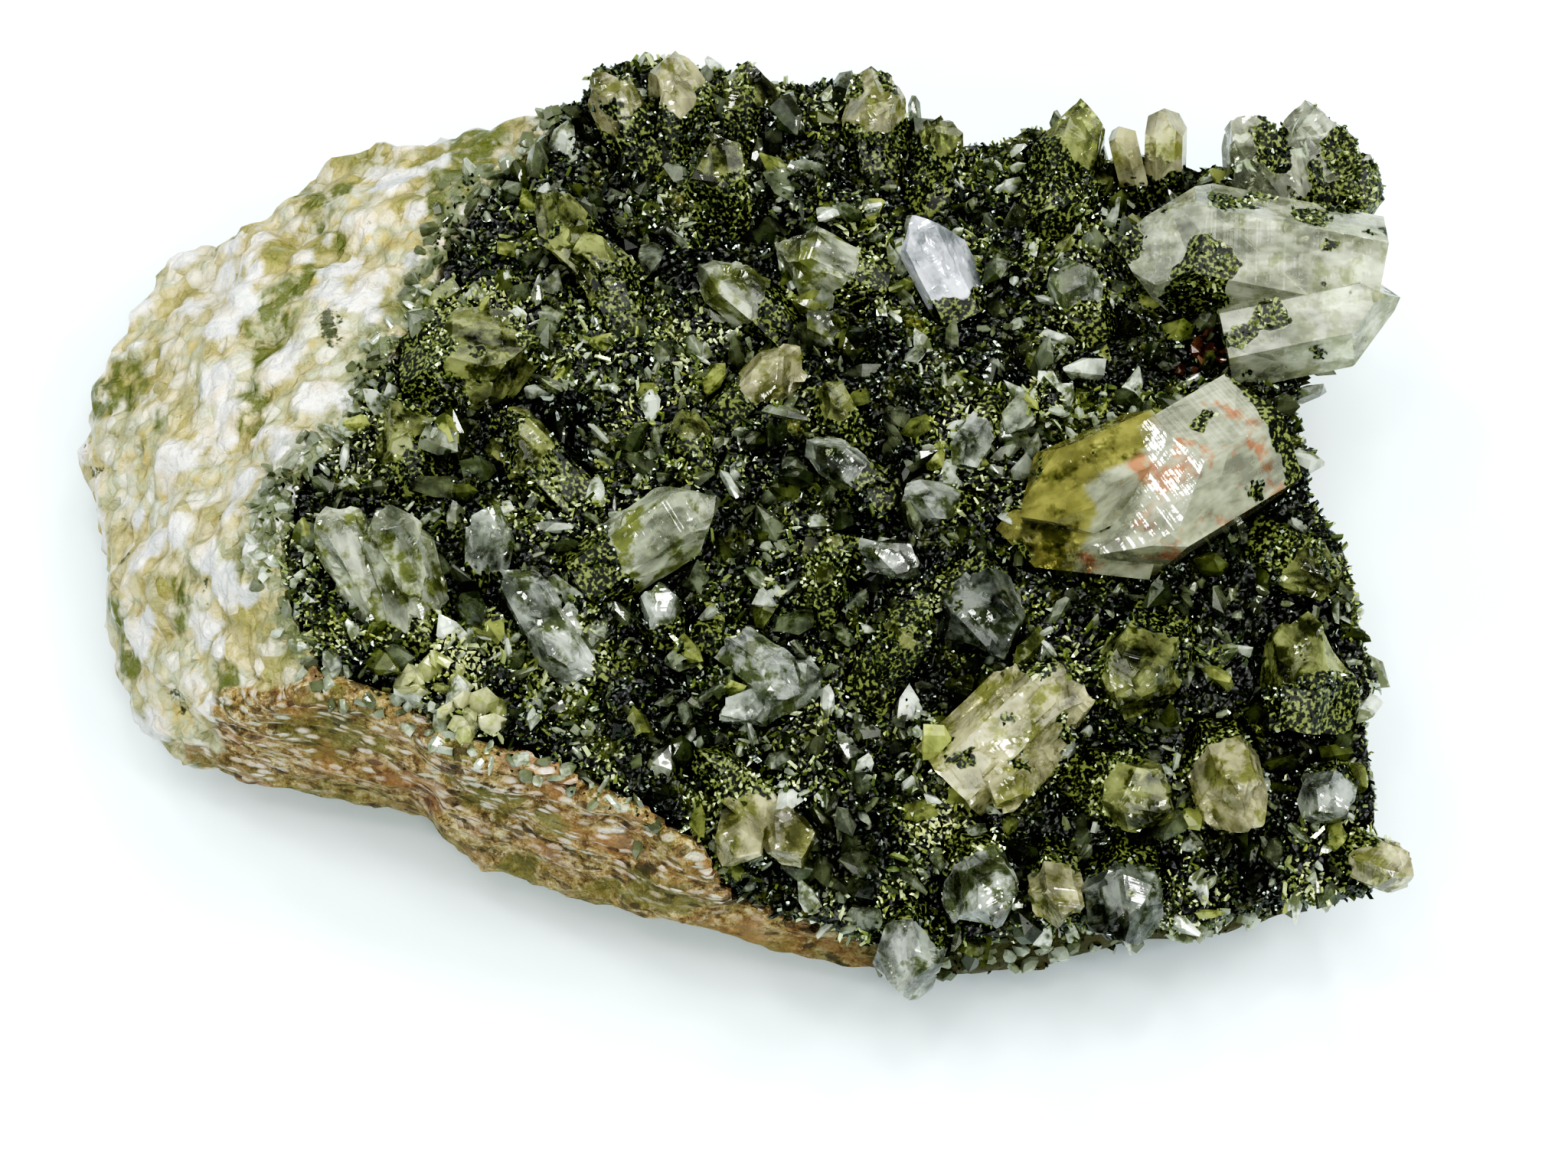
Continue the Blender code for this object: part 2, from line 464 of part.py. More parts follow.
# Crystals
def cut_crystal(foot, tip, width, flatness, seed, sides=6, grow=0.0, root=ROOT):
    """A crystal cut from a cube by its prism faces, its tip faces and a hidden root face.

    A slim crystal has three tip faces, a stout one has three big and three small ones."""
    chance = random.Random(seed)
    axis = Vector(tip) - Vector(foot)
    length = axis.length
    half = width / 2
    turn = chance.uniform(0, math.tau)
    aside = TIP_ASIDE * width
    apex = Vector((chance.uniform(-aside, aside), chance.uniform(-aside, aside), length))
    faces = [(Vector((0, 0, -1)), root)]
    for side in range(sides):
        angle = turn + math.tau * side / sides
        squeeze = 1 - (1 - flatness) * abs(math.sin(angle - turn))
        reach = half * squeeze * (1 + chance.uniform(-PRISM_UNEVEN, PRISM_UNEVEN))
        faces.append((Vector((math.cos(angle), math.sin(angle), 0)), reach))
        out = math.sin(TIP_LEAN)
        normal = Vector((math.cos(angle) * out, math.sin(angle) * out, math.cos(TIP_LEAN)))
        small_face = chance.uniform(0.3, 1.0) * TIP_UNEVEN * width if side % 2 else 0.0
        if width > SLIM_WIDTH or side % 2 == 0:
            faces.append((normal, normal.dot(apex) + small_face))
    bm = bmesh.new()
    bmesh.ops.create_cube(bm, size=3 * (length + width + root))
    for normal, distance in faces:
        geometry = bm.verts[:] + bm.edges[:] + bm.faces[:]
        bmesh.ops.bisect_plane(bm, geom=geometry, plane_co=normal * (distance + grow), plane_no=normal,
                               clear_outer=True, dist=CUT_TOLERANCE)
        rim = [edge for edge in bm.edges if edge.is_boundary]
        if rim:
            bmesh.ops.holes_fill(bm, edges=rim, sides=0)
    bmesh.ops.remove_doubles(bm, verts=bm.verts[:], dist=SHORTEST_EDGE)
    bmesh.ops.dissolve_degenerate(bm, edges=bm.edges[:], dist=SHORTEST_EDGE / 2)
    turned = axis.to_track_quat("Z", "Y").to_matrix().to_4x4()
    turned.translation = Vector(foot)
    bmesh.ops.transform(bm, matrix=turned, verts=bm.verts[:])
    bmesh.ops.triangulate(bm, faces=bm.faces[:])
    return bm


def grow_quartz(parts, growths, sockets):
    """Every quartz piece, with a slightly larger copy of each crystal to cut its socket."""
    pieces = {}
    for row, (name, foot, tip, width, flatness, finish) in enumerate(CRYSTALS):
        shape = cut_crystal(foot, tip, width, flatness, seed=row)
        if name in pieces:
            grown = as_cutter(place_mesh(f"{name}_growth_{row}", shape, growths, finish))
            combine(pieces[name], "UNION", other=grown)
        else:
            pieces[name] = place_mesh(name, shape, parts, finish)
        hollow = cut_crystal(foot, tip, width, flatness, seed=row, grow=GAP)
        as_cutter(place_mesh(f"socket_{row}", hollow, sockets, finish))
    return pieces


def far_from_quartz(x, y, room):
    """Whether a place in plan is clear of the axes of all quartz crystals."""
    for _, foot, tip, width, _, _ in CRYSTALS:
        start = Vector(foot[:2])
        run = Vector(tip[:2]) - start
        share = min(1.0, max(0.0, (Vector((x, y)) - start).dot(run) / run.length_squared))
        if (start + run * share - Vector((x, y))).length < width / 2 + room:
            return False
    return True


def crust_places(count, chance, inset, room):
    """Seeded places on the crust, inside its edge and clear of the quartz."""
    edge = around(CRUST_EDGE)
    places = []
    while len(places) < count:
        spoke = chance.randrange(SPOKES)
        radius = edge[spoke][0] * math.sqrt(chance.random()) - inset
        place = spoke_point(spoke, radius, 0)
        near = any((place - other).length < room for other in places)
        if radius > 0 and not near and far_from_quartz(place.x, place.y, room * CRUST_CLEARANCE):
            places.append(place)
    return places


def rim_places(chance):
    """Seeded places along the free part of the crust's edge, with the way out from there."""
    edge = around(CRUST_EDGE)
    places = []
    for spoke in range(*RIM_SPOKES, RIM_STEP):
        place = spoke_point(spoke, edge[spoke][0] - RIM_INSET, 0)
        if far_from_quartz(place.x, place.y, RIM_CLEARANCE):
            place.z = crust_level(place.x, place.y) - chance.uniform(*RIM_DROP)
            places.append((place, Vector((place.x, place.y, 0)).normalized()))
    return places


def grow_crust(group):
    """Coated crystals and epidote points that are fused with the crust."""
    chance = random.Random(GROWTH_SEED)

    def fuse(name, foot, rise, lengths, widths, sides, root, seed):
        tip = foot + rise.normalized() * chance.uniform(*lengths)
        shape = cut_crystal(foot, tip, chance.uniform(*widths), 0.8, seed, sides=sides, root=root)
        as_cutter(place_mesh(name, shape, group, "epidote"))

    def stand(name, places, lean, lengths, widths, sides, root, seed):
        for number, place in enumerate(places):
            place.z = crust_level(place.x, place.y) + min(0.0, crust_relief(place)) - SUNK
            rise = Vector((chance.uniform(-lean, lean), chance.uniform(-lean, lean), 1))
            fuse(f"{name}_{number}", place, rise, lengths, widths, sides, root, seed + number)

    coated = crust_places(COATED_COUNT, chance, COATED_INSET, COATED_ROOM)
    stand("coated", coated, COATED_LEAN, COATED_LENGTH, COATED_WIDTH, 6, COATED_ROOT, COATED_SEED)
    points = crust_places(POINT_COUNT, chance, POINT_INSET, POINT_ROOM)
    stand("point", points, POINT_LEAN, POINT_LENGTH, POINT_WIDTH, POINT_SIDES, POINT_ROOT, POINT_SEED)
    for number, (place, out) in enumerate(rim_places(chance)):
        aside = Vector((chance.uniform(-RIM_TURN, RIM_TURN), chance.uniform(-RIM_TURN, RIM_TURN),
                        chance.uniform(*RIM_RISE)))
        fuse(f"rim_{number}", place, out + aside, RIM_LENGTH, RIM_WIDTH, POINT_SIDES, RIM_ROOT,
             RIM_SEED + number)


def main():
    for item in list(bpy.data.objects):
        bpy.data.objects.remove(item, do_unlink=True)
    parts = fresh_collection("epidote crystal cluster")
    cutters = fresh_collection("cutters")
    growths = fresh_collection("quartz growths")
    sockets = fresh_collection("sockets")
    crust_growths = fresh_collection("crust growths")

    grow_quartz(parts, growths, sockets)
    grow_crust(crust_growths)

    floor = as_cutter(place_mesh("bed_floor", sheet_block(BED_SPACING, bed_height, BLOCK_HEAD + 1),
                                 cutters, "epidote"))
    bed = as_cutter(place_mesh("bed", outline_block(BED_SPREAD), cutters, "epidote"))
    combine(bed, "INTERSECT", other=floor)
    rock = place_mesh("host_rock", rock_blank(), parts, "host_rock")
    combine(rock, "DIFFERENCE", other=bed)
    combine(rock, "DIFFERENCE", group=sockets)
    settle(rock)

    lifted = as_cutter(place_mesh("crust_floor",
                                  sheet_block(BED_SPACING, lambda x, y: bed_height(x, y) + GAP,
                                              BLOCK_HEAD + 1), cutters, "epidote"))
    relief = as_cutter(place_mesh("crust_relief",
                                  sheet_block(RELIEF_SPACING, relief_height, BLOCK_FOOT - 1),
                                  cutters, "epidote"))
    crust = place_mesh("epidote_crust", outline_block(0.0), parts, "epidote")
    combine(crust, "INTERSECT", other=relief)
    combine(crust, "UNION", group=crust_growths)
    combine(crust, "INTERSECT", other=lifted)
    combine(crust, "DIFFERENCE", group=sockets)
    settle(crust)


main()
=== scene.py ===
# %% [markdown]
# # Epidote and quartz on its host rock
# The object is a hand specimen about 97 mm long. A pale granular quartz rind and a brown layered wall
# carry a dark crust of epidote, and larger quartz crystals stand in that crust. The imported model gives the
# big forms: the rock, the crust and every larger crystal. This script dresses them, in metres and in the
# same frame. Each cell makes one piece or one finish and says how and why.

import math

import bmesh
import bpy
import numpy as np
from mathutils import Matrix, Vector, kdtree, noise


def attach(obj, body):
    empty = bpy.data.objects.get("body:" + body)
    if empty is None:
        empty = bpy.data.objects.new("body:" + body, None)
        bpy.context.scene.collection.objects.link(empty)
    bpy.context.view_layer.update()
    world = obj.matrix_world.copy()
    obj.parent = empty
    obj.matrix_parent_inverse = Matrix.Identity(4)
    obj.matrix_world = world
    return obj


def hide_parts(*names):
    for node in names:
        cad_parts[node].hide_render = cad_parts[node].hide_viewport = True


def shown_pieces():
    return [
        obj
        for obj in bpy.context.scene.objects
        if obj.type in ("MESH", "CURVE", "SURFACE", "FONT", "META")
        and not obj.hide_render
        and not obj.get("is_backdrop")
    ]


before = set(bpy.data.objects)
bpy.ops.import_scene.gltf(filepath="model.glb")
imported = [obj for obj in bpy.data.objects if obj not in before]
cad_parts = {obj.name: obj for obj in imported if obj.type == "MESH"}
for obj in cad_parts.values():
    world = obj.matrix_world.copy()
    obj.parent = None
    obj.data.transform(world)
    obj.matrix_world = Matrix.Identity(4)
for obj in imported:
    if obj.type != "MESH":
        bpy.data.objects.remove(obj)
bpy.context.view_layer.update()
MM = 0.001
LOOSE = bpy.context.scene.collection
print("nodes in the frame:", len(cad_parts))

# %% [markdown]
# ## Camera
# A stone is often photographed from above with a long lens, so that it keeps its proportions. The camera
# could be turned by hand until it fits, but a few measured numbers do it at once: the point it looks at,
# its height above the horizon, its distance and its lens.

# %% Set up the camera
AIM = Vector((3.96, -4.24, 12.06)) * MM
ELEVATION = math.radians(62)
DISTANCE = 0.266
camera = bpy.data.objects.new("camera", bpy.data.cameras.new("camera"))
camera.data.lens = 85
camera.data.clip_start = 0.01
camera.location = AIM + DISTANCE * Vector((0, -math.cos(ELEVATION), math.sin(ELEVATION)))
camera.rotation_euler = (math.radians(90) - ELEVATION, 0, 0)
LOOSE.objects.link(camera)
bpy.context.scene.camera = camera
print("camera at", [round(v, 4) for v in camera.location])

# %% [markdown]
# ## Light and floor
# The stone lies on plain white paper in bright, soft light. One wide light would give one strong shadow, so
# five soft boxes stand round the stone and each adds a little. A dim sky fills the hollows. Twelve small
# lamps between them give the many crystal faces something sharp to mirror, and that is the only way to get
# pin-point glints.

# %% Lights
SOFT_SIZE = 300         # mm
SOFT_BOXES = {          # place in mm, power in W, colour
    "soft box above": ((60, -60, 640), 0.75, (1, 1, 1)),
    "soft box right": ((430, 100, 380), 0.6, (1, 1, 1)),
    "soft box left": ((-440, 60, 330), 0.4, (0.97, 0.99, 1)),
    "soft box front": ((60, -430, 360), 0.75, (1, 1, 1)),
    "soft box back": ((-60, 520, 240), 0.35, (1, 1, 1)),
}
GLINT_SIZE = 60         # mm
GLINT_POWER = 0.19      # W
GLINT_SPOTS = [(260, -140, 440), (-170, 60, 500), (60, -250, 470), (-290, -220, 360), (200, 100, 500),
               (0, 60, 560), (-100, -120, 520), (340, 20, 380), (-330, 160, 380), (160, -330, 330),
               (-190, 250, 450), (120, 260, 430)]


def lamp(name, place, size, power, colour=(1, 1, 1)):
    """A square area light at a place in millimetres that shines at the middle of the specimen."""
    light = bpy.data.lights.new(name, "AREA")
    light.size = size * MM
    light.energy = power
    light.color = colour
    holder = bpy.data.objects.new(name, light)
    holder.location = Vector(place) * MM
    aim = AIM - holder.location
    holder.rotation_euler = aim.to_track_quat("-Z", "Y").to_euler()
    LOOSE.objects.link(holder)


for name, (place, power, colour) in SOFT_BOXES.items():
    lamp(name, place, SOFT_SIZE, power, colour)
for place in GLINT_SPOTS:
    lamp("glint lamp", place, GLINT_SIZE, GLINT_POWER)
print("lights:", len(bpy.data.lights))

# %% [markdown]
# The picture that the stone is known from has deep blacks and bright whites. A tone curve on the view gives
# that contrast without a change to any material: dark shades are shown darker, middle ones a little lighter.

# %% Sky, tones and paper
SKY_COLOUR = (0.93, 0.97, 1.0, 1)
SKY_STRENGTH = 0.36
TONES = ((0.05, 0.011), (0.22, 0.20), (0.5, 0.56))      # shade, and how it is shown
FLOOR_HALF = 2.0        # m
world = bpy.data.worlds.new("sky")
world.use_nodes = True
world.node_tree.nodes["Background"].inputs["Color"].default_value = SKY_COLOUR
world.node_tree.nodes["Background"].inputs["Strength"].default_value = SKY_STRENGTH
bpy.context.scene.world = world
look = bpy.context.scene.view_settings
look.view_transform = "Standard"
look.use_curve_mapping = True
for shade, shown in TONES:
    look.curve_mapping.curves[3].points.new(shade, shown)
look.curve_mapping.update()
paper_mesh = bpy.data.meshes.new("paper")
corners = [(-FLOOR_HALF, -FLOOR_HALF, 0), (FLOOR_HALF, -FLOOR_HALF, 0),
           (FLOOR_HALF, FLOOR_HALF, 0), (-FLOOR_HALF, FLOOR_HALF, 0)]
paper_mesh.from_pydata(corners, [], [(0, 1, 2, 3)])
paper = bpy.data.objects.new("paper", paper_mesh)
LOOSE.objects.link(paper)
paper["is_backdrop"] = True
print("paper is", 2 * FLOOR_HALF, "m wide")

# %% [markdown]
# ## A short way to write finishes
# Every finish here is a small net of nodes. Written out in full it would be long, so a helper class holds
# one material and adds a node in one call. It reads Object coordinates, which stay on the piece when the
# view changes. The numbers that are the same all over go straight to the shader's own sockets. A clear body
# gets a plain Volume Absorption beside its surface.

# %% Helper for finishes
class Recipe:
    """One material in the making."""

    def __init__(self, name):
        self.material = bpy.data.materials.new(name)
        self.material.use_nodes = True
        self.tree = self.material.node_tree
        self.shader = self.tree.nodes["Principled BSDF"]
        self.place = self.add("ShaderNodeTexCoord").outputs["Object"]

    def add(self, kind, feeds=(), **settings):
        made = self.tree.nodes.new(kind)
        for key, value in settings.items():
            setattr(made, key, value)
        for key, value in dict(feeds).items():
            self.feed(made.inputs[key], value)
        return made

    def feed(self, socket, value):
        if isinstance(value, bpy.types.NodeSocket):
            self.tree.links.new(value, socket)
        else:
            socket.default_value = value

    def set(self, **values):
        for key, value in values.items():
            self.feed(self.shader.inputs[key.replace("_", " ").title().replace("Ior", "IOR")], value)

    def clouds(self, size, detail=4.0, rough=0.55, place=None, twist=0.0):
        """Soft noise from 0 to 1 whose blobs are about size metres across."""
        feeds = {"Vector": place or self.place, "Scale": 1 / size, "Detail": detail,
                 "Roughness": rough, "Distortion": twist}
        return self.add("ShaderNodeTexNoise", feeds).outputs["Fac"]

    def grains(self, size, feature="F1", place=None):
        feeds = {"Vector": place or self.place, "Scale": 1 / size}
        return self.add("ShaderNodeTexVoronoi", feeds, feature=feature)

    def stretch(self, scale, turn=(0, 0, 0)):
        """The place on the piece, turned and scaled, for patterns that are longer one way."""
        feeds = {"Vector": self.place, "Scale": scale, "Rotation": turn}
        return self.add("ShaderNodeMapping", feeds).outputs["Vector"]

    def ramp(self, value, stops, ease="LINEAR"):
        made = self.add("ShaderNodeValToRGB", {"Fac": value})
        made.color_ramp.interpolation = ease
        bits = made.color_ramp.elements
        while len(bits) < len(stops):
            bits.new(0.5)
        for bit, (at, colour) in zip(bits, stops):
            bit.position = at
            bit.color = (*colour, 1) if isinstance(colour, tuple) else (colour, colour, colour, 1)
        return made.outputs["Color"]

    def reach(self, value, low, high, to_low=0.0, to_high=1.0):
        feeds = {"Value": value, "From Min": low, "From Max": high, "To Min": to_low, "To Max": to_high}
        return self.add("ShaderNodeMapRange", feeds).outputs["Result"]

    def mix(self, share, one, other, way="MIX"):
        made = self.add("ShaderNodeMix", data_type="RGBA", blend_type=way)
        self.feed(made.inputs[0], share)
        self.feed(made.inputs[6], (*one, 1) if isinstance(one, tuple) else one)
        self.feed(made.inputs[7], (*other, 1) if isinstance(other, tuple) else other)
        return made.outputs[2]

    def sum(self, way, one, other=0.0):
        made = self.add("ShaderNodeMath", operation=way)
        self.feed(made.inputs[0], one)
        self.feed(made.inputs[1], other)
        return made.outputs["Value"]

    def trait(self, name):
        """A number stored on the piece's points."""
        return self.add("ShaderNodeAttribute", attribute_name=name).outputs["Fac"]

    def relief(self, height, depth, strength=1.0, under=None):
        feeds = {"Height": height, "Distance": depth, "Strength": strength}
        if under is not None:
            feeds["Normal"] = under
        return self.add("ShaderNodeBump", feeds).outputs["Normal"]

    def tint(self, colour, density):
        """Colour that light takes on inside a clear body, deeper where the body is thicker."""
        volume = self.add("ShaderNodeVolumeAbsorption", {"Color": (*colour, 1), "Density": density})
        self.tree.links.new(volume.outputs["Volume"], self.tree.nodes["Material Output"].inputs["Volume"])


paper_finish = Recipe("white paper")
paper_finish.set(base_color=(0.745, 0.81, 0.82, 1), roughness=0.9)
paper_mesh.materials.append(paper_finish.material)
print("finishes:", len(bpy.data.materials))

# %% [markdown]
# ## Finer copies of the solids
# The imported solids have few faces. A lumpy skin needs many small ones, all about the same size. Subdivision
# would follow the long thin triangles, so a voxel remesh is used: it rebuilds a closed skin from little
# cubes and closes every seam. The copy is merged first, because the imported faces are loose. Places that were
# measured on a drawing of the stone lie a little aside of the frame's middle, by the shift below.

# %% Helpers for finer copies
SHIFT_X, SHIFT_Y = 1.1, -0.6        # mm, from the drawing to the frame


def merged_copy(node, name):
    """A new object with the node's mesh, its doubles merged."""
    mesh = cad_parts[node].data.copy()
    mesh.materials.clear()
    work = bmesh.new()
    work.from_mesh(mesh)
    bmesh.ops.remove_doubles(work, verts=work.verts, dist=1e-6)
    work.to_mesh(mesh)
    work.free()
    piece = bpy.data.objects.new(name, mesh)
    LOOSE.objects.link(piece)
    return piece


def settle(piece):
    """Turns a piece with live modifiers into a plain mesh."""
    seen = piece.evaluated_get(bpy.context.evaluated_depsgraph_get())
    mesh = bpy.data.meshes.new_from_object(seen)
    piece.modifiers.clear()
    old = piece.data
    piece.data = mesh
    bpy.data.meshes.remove(old)
    return piece


def fine_copy(node, name, grain):
    piece = merged_copy(node, name)
    remesh = piece.modifiers.new("even faces", "REMESH")
    remesh.mode = "VOXEL"
    remesh.voxel_size = grain
    settle(piece)
    print(name, "has", len(piece.data.polygons), "faces")
    return piece


def skin(piece):
    """Places and normals of a piece's points, in millimetres, as arrays."""
    count = len(piece.data.vertices)
    places = np.zeros(count * 3)
    normals = np.zeros(count * 3)
    piece.data.vertices.foreach_get("co", places)
    piece.data.vertices.foreach_get("normal", normals)
    return places.reshape(-1, 3) / MM, normals.reshape(-1, 3)


def store(piece, name, values):
    """Keeps one number for each point of the piece, for its finish to read."""
    trait = piece.data.attributes.new(name, "FLOAT", "POINT")
    trait.data.foreach_set("value", np.asarray(values, dtype=np.float32))


def move_out(piece, places, normals, heights):
    """Moves each point along its normal, and never under the floor."""
    moved = places + normals * heights[:, None]
    moved[:, 2] = np.maximum(moved[:, 2], np.minimum(places[:, 2], 0.05))
    piece.data.vertices.foreach_set("co", (moved * MM).ravel())
    piece.data.update()


def ease(low, high, value):
    share = np.clip((value - low) / (high - low), 0, 1)
    return share * share * (3 - 2 * share)


def mark(piece, spots, soft=1.2):
    """Stores as "coat" how near each point is in plan to the spots, given in drawing mm: x, y, radius."""
    places, _ = skin(piece)
    coat = np.zeros(len(places))
    for x, y, radius in spots:
        far = np.hypot(places[:, 0] - x - SHIFT_X, places[:, 1] - y - SHIFT_Y)
        coat = np.maximum(coat, ease(radius + soft / 2, radius - soft / 2, far))
    if "coat" in piece.data.attributes:
        piece.data.attributes.remove(piece.data.attributes["coat"])
    store(piece, "coat", coat)


print("nodes that can be copied:", len(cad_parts))

# %% [markdown]
# ## Host rock
# The left end and the upper left edge are a rind of massive quartz: wet-looking white and grey grains of
# 2 to 4 mm, with green and yellow stain between them. The front wall is a brown schist, split into thin
# layers that run along it. Each grain is a cell of a Voronoi pattern: its middle stands out, and a slanting
# flat of its own direction gives it the broken look of real grains. The layers are noise that is pulled
# long sideways and kept thin in height.

# %% Forms of grains and layers
def grain_height(place, size, dome, slant):
    spans, seeds = noise.voronoi(place / size)
    flat = noise.cell_vector(seeds[0] * 9.1) * 2 - Vector((1, 1, 1))
    rise = 1 - min(1.0, spans[0] / 0.75) ** 2
    crack = min(1.0, (spans[1] - spans[0]) / 0.18)
    return rise * dome * (0.4 + 0.6 * crack) + slant * flat.dot(place / size - seeds[0])


def layer_height(place):
    long_way = Vector((place.x / 6, place.y / 6, place.z / 1.1))
    thin = Vector((place.x / 1.8, place.y / 1.8, place.z / 0.55))
    return 0.5 * noise.noise(long_way) + 0.3 * noise.noise(thin) + 0.35 * noise.noise(place / 4)


PALE_FROM = 0.42        # cells whose random number is higher are pale grains


def pale_grain(place, size):
    """How deep inside a pale grain a place lies, 0 to 1."""
    spans, seeds = noise.voronoi(place / size)
    pale = noise.cell(seeds[0] * 5.7) > PALE_FROM
    return max(0.0, 1 - spans[0] / 0.62) if pale else 0.0


print("grains move the skin at the origin by", round(grain_height(Vector((0, 0, 0)), 1.9, 0.5, 0.8), 2), "mm")

# %% [markdown]
# Which form a point gets is a stored number, "layered": 1 on the front wall, on the right side and under the
# slab, 0 on the rind, and a wavering blend between. Other stored numbers tell the finish where the pale
# grains lie, where painted shade darkens the wall towards its right front, and, as "coat", where small
# crystals straggle from the crust onto the rock. A tree of the crust's points gives the distance to the crust
# quickly.

# %% Shape the host rock
ROCK_GRAIN = 0.6 * MM
rock = fine_copy("host_rock", "host_rock_skin", ROCK_GRAIN)
places, normals = skin(rock)
draw_x, draw_y = places[:, 0] - SHIFT_X, places[:, 1] - SHIFT_Y
wobble = np.array([noise.noise(Vector(p) / 4) for p in places])
front = ease(-14.0, -15.6, draw_y + 1.6 * wobble)
front = np.maximum(front, ease(-13.2, -14.4, draw_y + wobble) * ease(-31, -28, draw_x))
right = ease(4, 14, draw_x + 6 * wobble) * ease(20, 17, places[:, 2] + 2 * wobble)
under = ease(0.5, -0.6, normals[:, 2] + 0.3 * wobble) * ease(6, 3, places[:, 2])
layered = np.maximum.reduce([front, right, under])
heights = np.zeros(len(places))
pale = np.zeros(len(places))
for i, p in enumerate(places):
    here = Vector(p)
    share = layered[i]
    pale[i] = max(pale_grain(here, 3.6), 0.9 * pale_grain(here + Vector((60, 0, 0)), 2.2))
    rind = 0.45 * math.sqrt(pale[i]) + 0.45 * grain_height(here, 1.9, 0.5, 0.8) - 0.35
    rind += 1.1 * noise.noise(here / 5.5) + 0.45 * noise.noise(here / 2)
    heights[i] = (1 - share) * rind + share * layer_height(here)
hidden = ease(0.0, 1.0, places[:, 2] / 1.2)
move_out(rock, places, normals, heights * (0.25 + 0.75 * hidden))
store(rock, "layered", layered)
store(rock, "pale", pale)
# painted shade: how far the wall's colour is darkened towards its right front
store(rock, "painted_shade_side", ease(2, 14, draw_x + 3 * wobble) * ease(0, -8, draw_y))
crust_places = kdtree.KDTree(len(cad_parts["epidote_crust"].data.vertices))
for i, vertex in enumerate(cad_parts["epidote_crust"].data.vertices):
    crust_places.insert(vertex.co / MM, i)
crust_places.balance()
gap = np.array([crust_places.find(Vector(p))[2] for p in places])
border = ease(4.5, 1.0, gap + 1.5 * wobble) * ease(0.1, 0.5, normals[:, 2]) * ease(1, -8, draw_x)
foot_side = ease(4, 12, draw_x + 3 * wobble) * ease(2, -8, draw_y) * ease(2.5, 4.5, places[:, 2])
store(rock, "coat", np.maximum(border, 0.95 * foot_side * ease(-0.7, -0.3, normals[:, 2])))
print("layered share of the rock:", round(float(layered.mean()), 2))

# %% [markdown]
# The rind is broken quartz: a frosted body that drifts from beige over grey to ochre, white grains where the
# stored number is high, moss-green patches and a few dark spots of painted shade where small pits would be.
# Near the crust it turns grey-green.

# %% Colours of the rind
def rind_colour(r, cells):
    body = r.ramp(r.clouds(0.006, 5, 0.62), [(0.32, (0.20, 0.20, 0.055)), (0.42, (0.36, 0.31, 0.14)),
                                            (0.50, (0.50, 0.44, 0.28)), (0.57, (0.42, 0.44, 0.33)),
                                            (0.66, (0.48, 0.37, 0.15))])
    pick = r.add("ShaderNodeSeparateColor", {"Color": cells.outputs["Color"]}).outputs["Red"]
    body = r.mix(r.reach(pick, 0.5, 1.0, 0.0, 0.6), body, (0.66, 0.65, 0.60))
    body = r.mix(r.reach(pick, 0.3, 0.0, 0.0, 0.45), body, (0.22, 0.20, 0.08))
    seams = r.sum("MULTIPLY", r.reach(cells.outputs["Distance"], 0.42, 0.75), 0.5)
    body = r.mix(seams, body, (0.20, 0.18, 0.07))
    patches = r.reach(r.clouds(0.007, 4, 0.6, place=r.stretch((1, 0.6, 1), (0, 0, 0.6))), 0.54, 0.60)
    moss = r.sum("MULTIPLY", patches, r.reach(r.clouds(0.0016, 4), 0.36, 0.52))
    body = r.mix(r.sum("MULTIPLY", moss, 0.9), body, (0.09, 0.105, 0.012))
    fray = r.sum("MULTIPLY", r.sum("SUBTRACT", r.clouds(0.0009, 3), 0.5), 0.45)
    frayed = r.sum("ADD", r.trait("pale"), fray)
    grain_tint = r.ramp(r.clouds(0.004, 2), [(0.35, (0.50, 0.52, 0.52)), (0.5, (0.62, 0.62, 0.60)),
                                             (0.65, (0.56, 0.50, 0.38))])
    rind = r.mix(r.reach(frayed, 0.14, 0.38, 0.0, 0.88), body, grain_tint)
    # painted shade: a few dark spots placed by noise stand for the shade in small pits that the relief doesn't
    # have
    painted_pit_shade = r.sum("MULTIPLY", r.reach(r.clouds(0.005, 5, 0.7), 0.64, 0.67), 0.9)
    rind = r.mix(painted_pit_shade, rind, (0.035, 0.045, 0.012))
    border = r.sum("MULTIPLY", r.trait("coat"), r.reach(r.clouds(0.0012, 3), 0.42, 0.5))
    return r.mix(border, rind, (0.16, 0.18, 0.10))


print("the rind's colours are ready")

# %% [markdown]
# The wall is a brown mottle with rust and a greener foot. Fine grit breaks it up, pale flecks are drawn out
# along the layers in its upper part, and towards the right front painted shade darkens it.

# %% Colours of the wall
SLANT = (0.25, 0.1, 0)      # how the layers lie in the rock, in radians


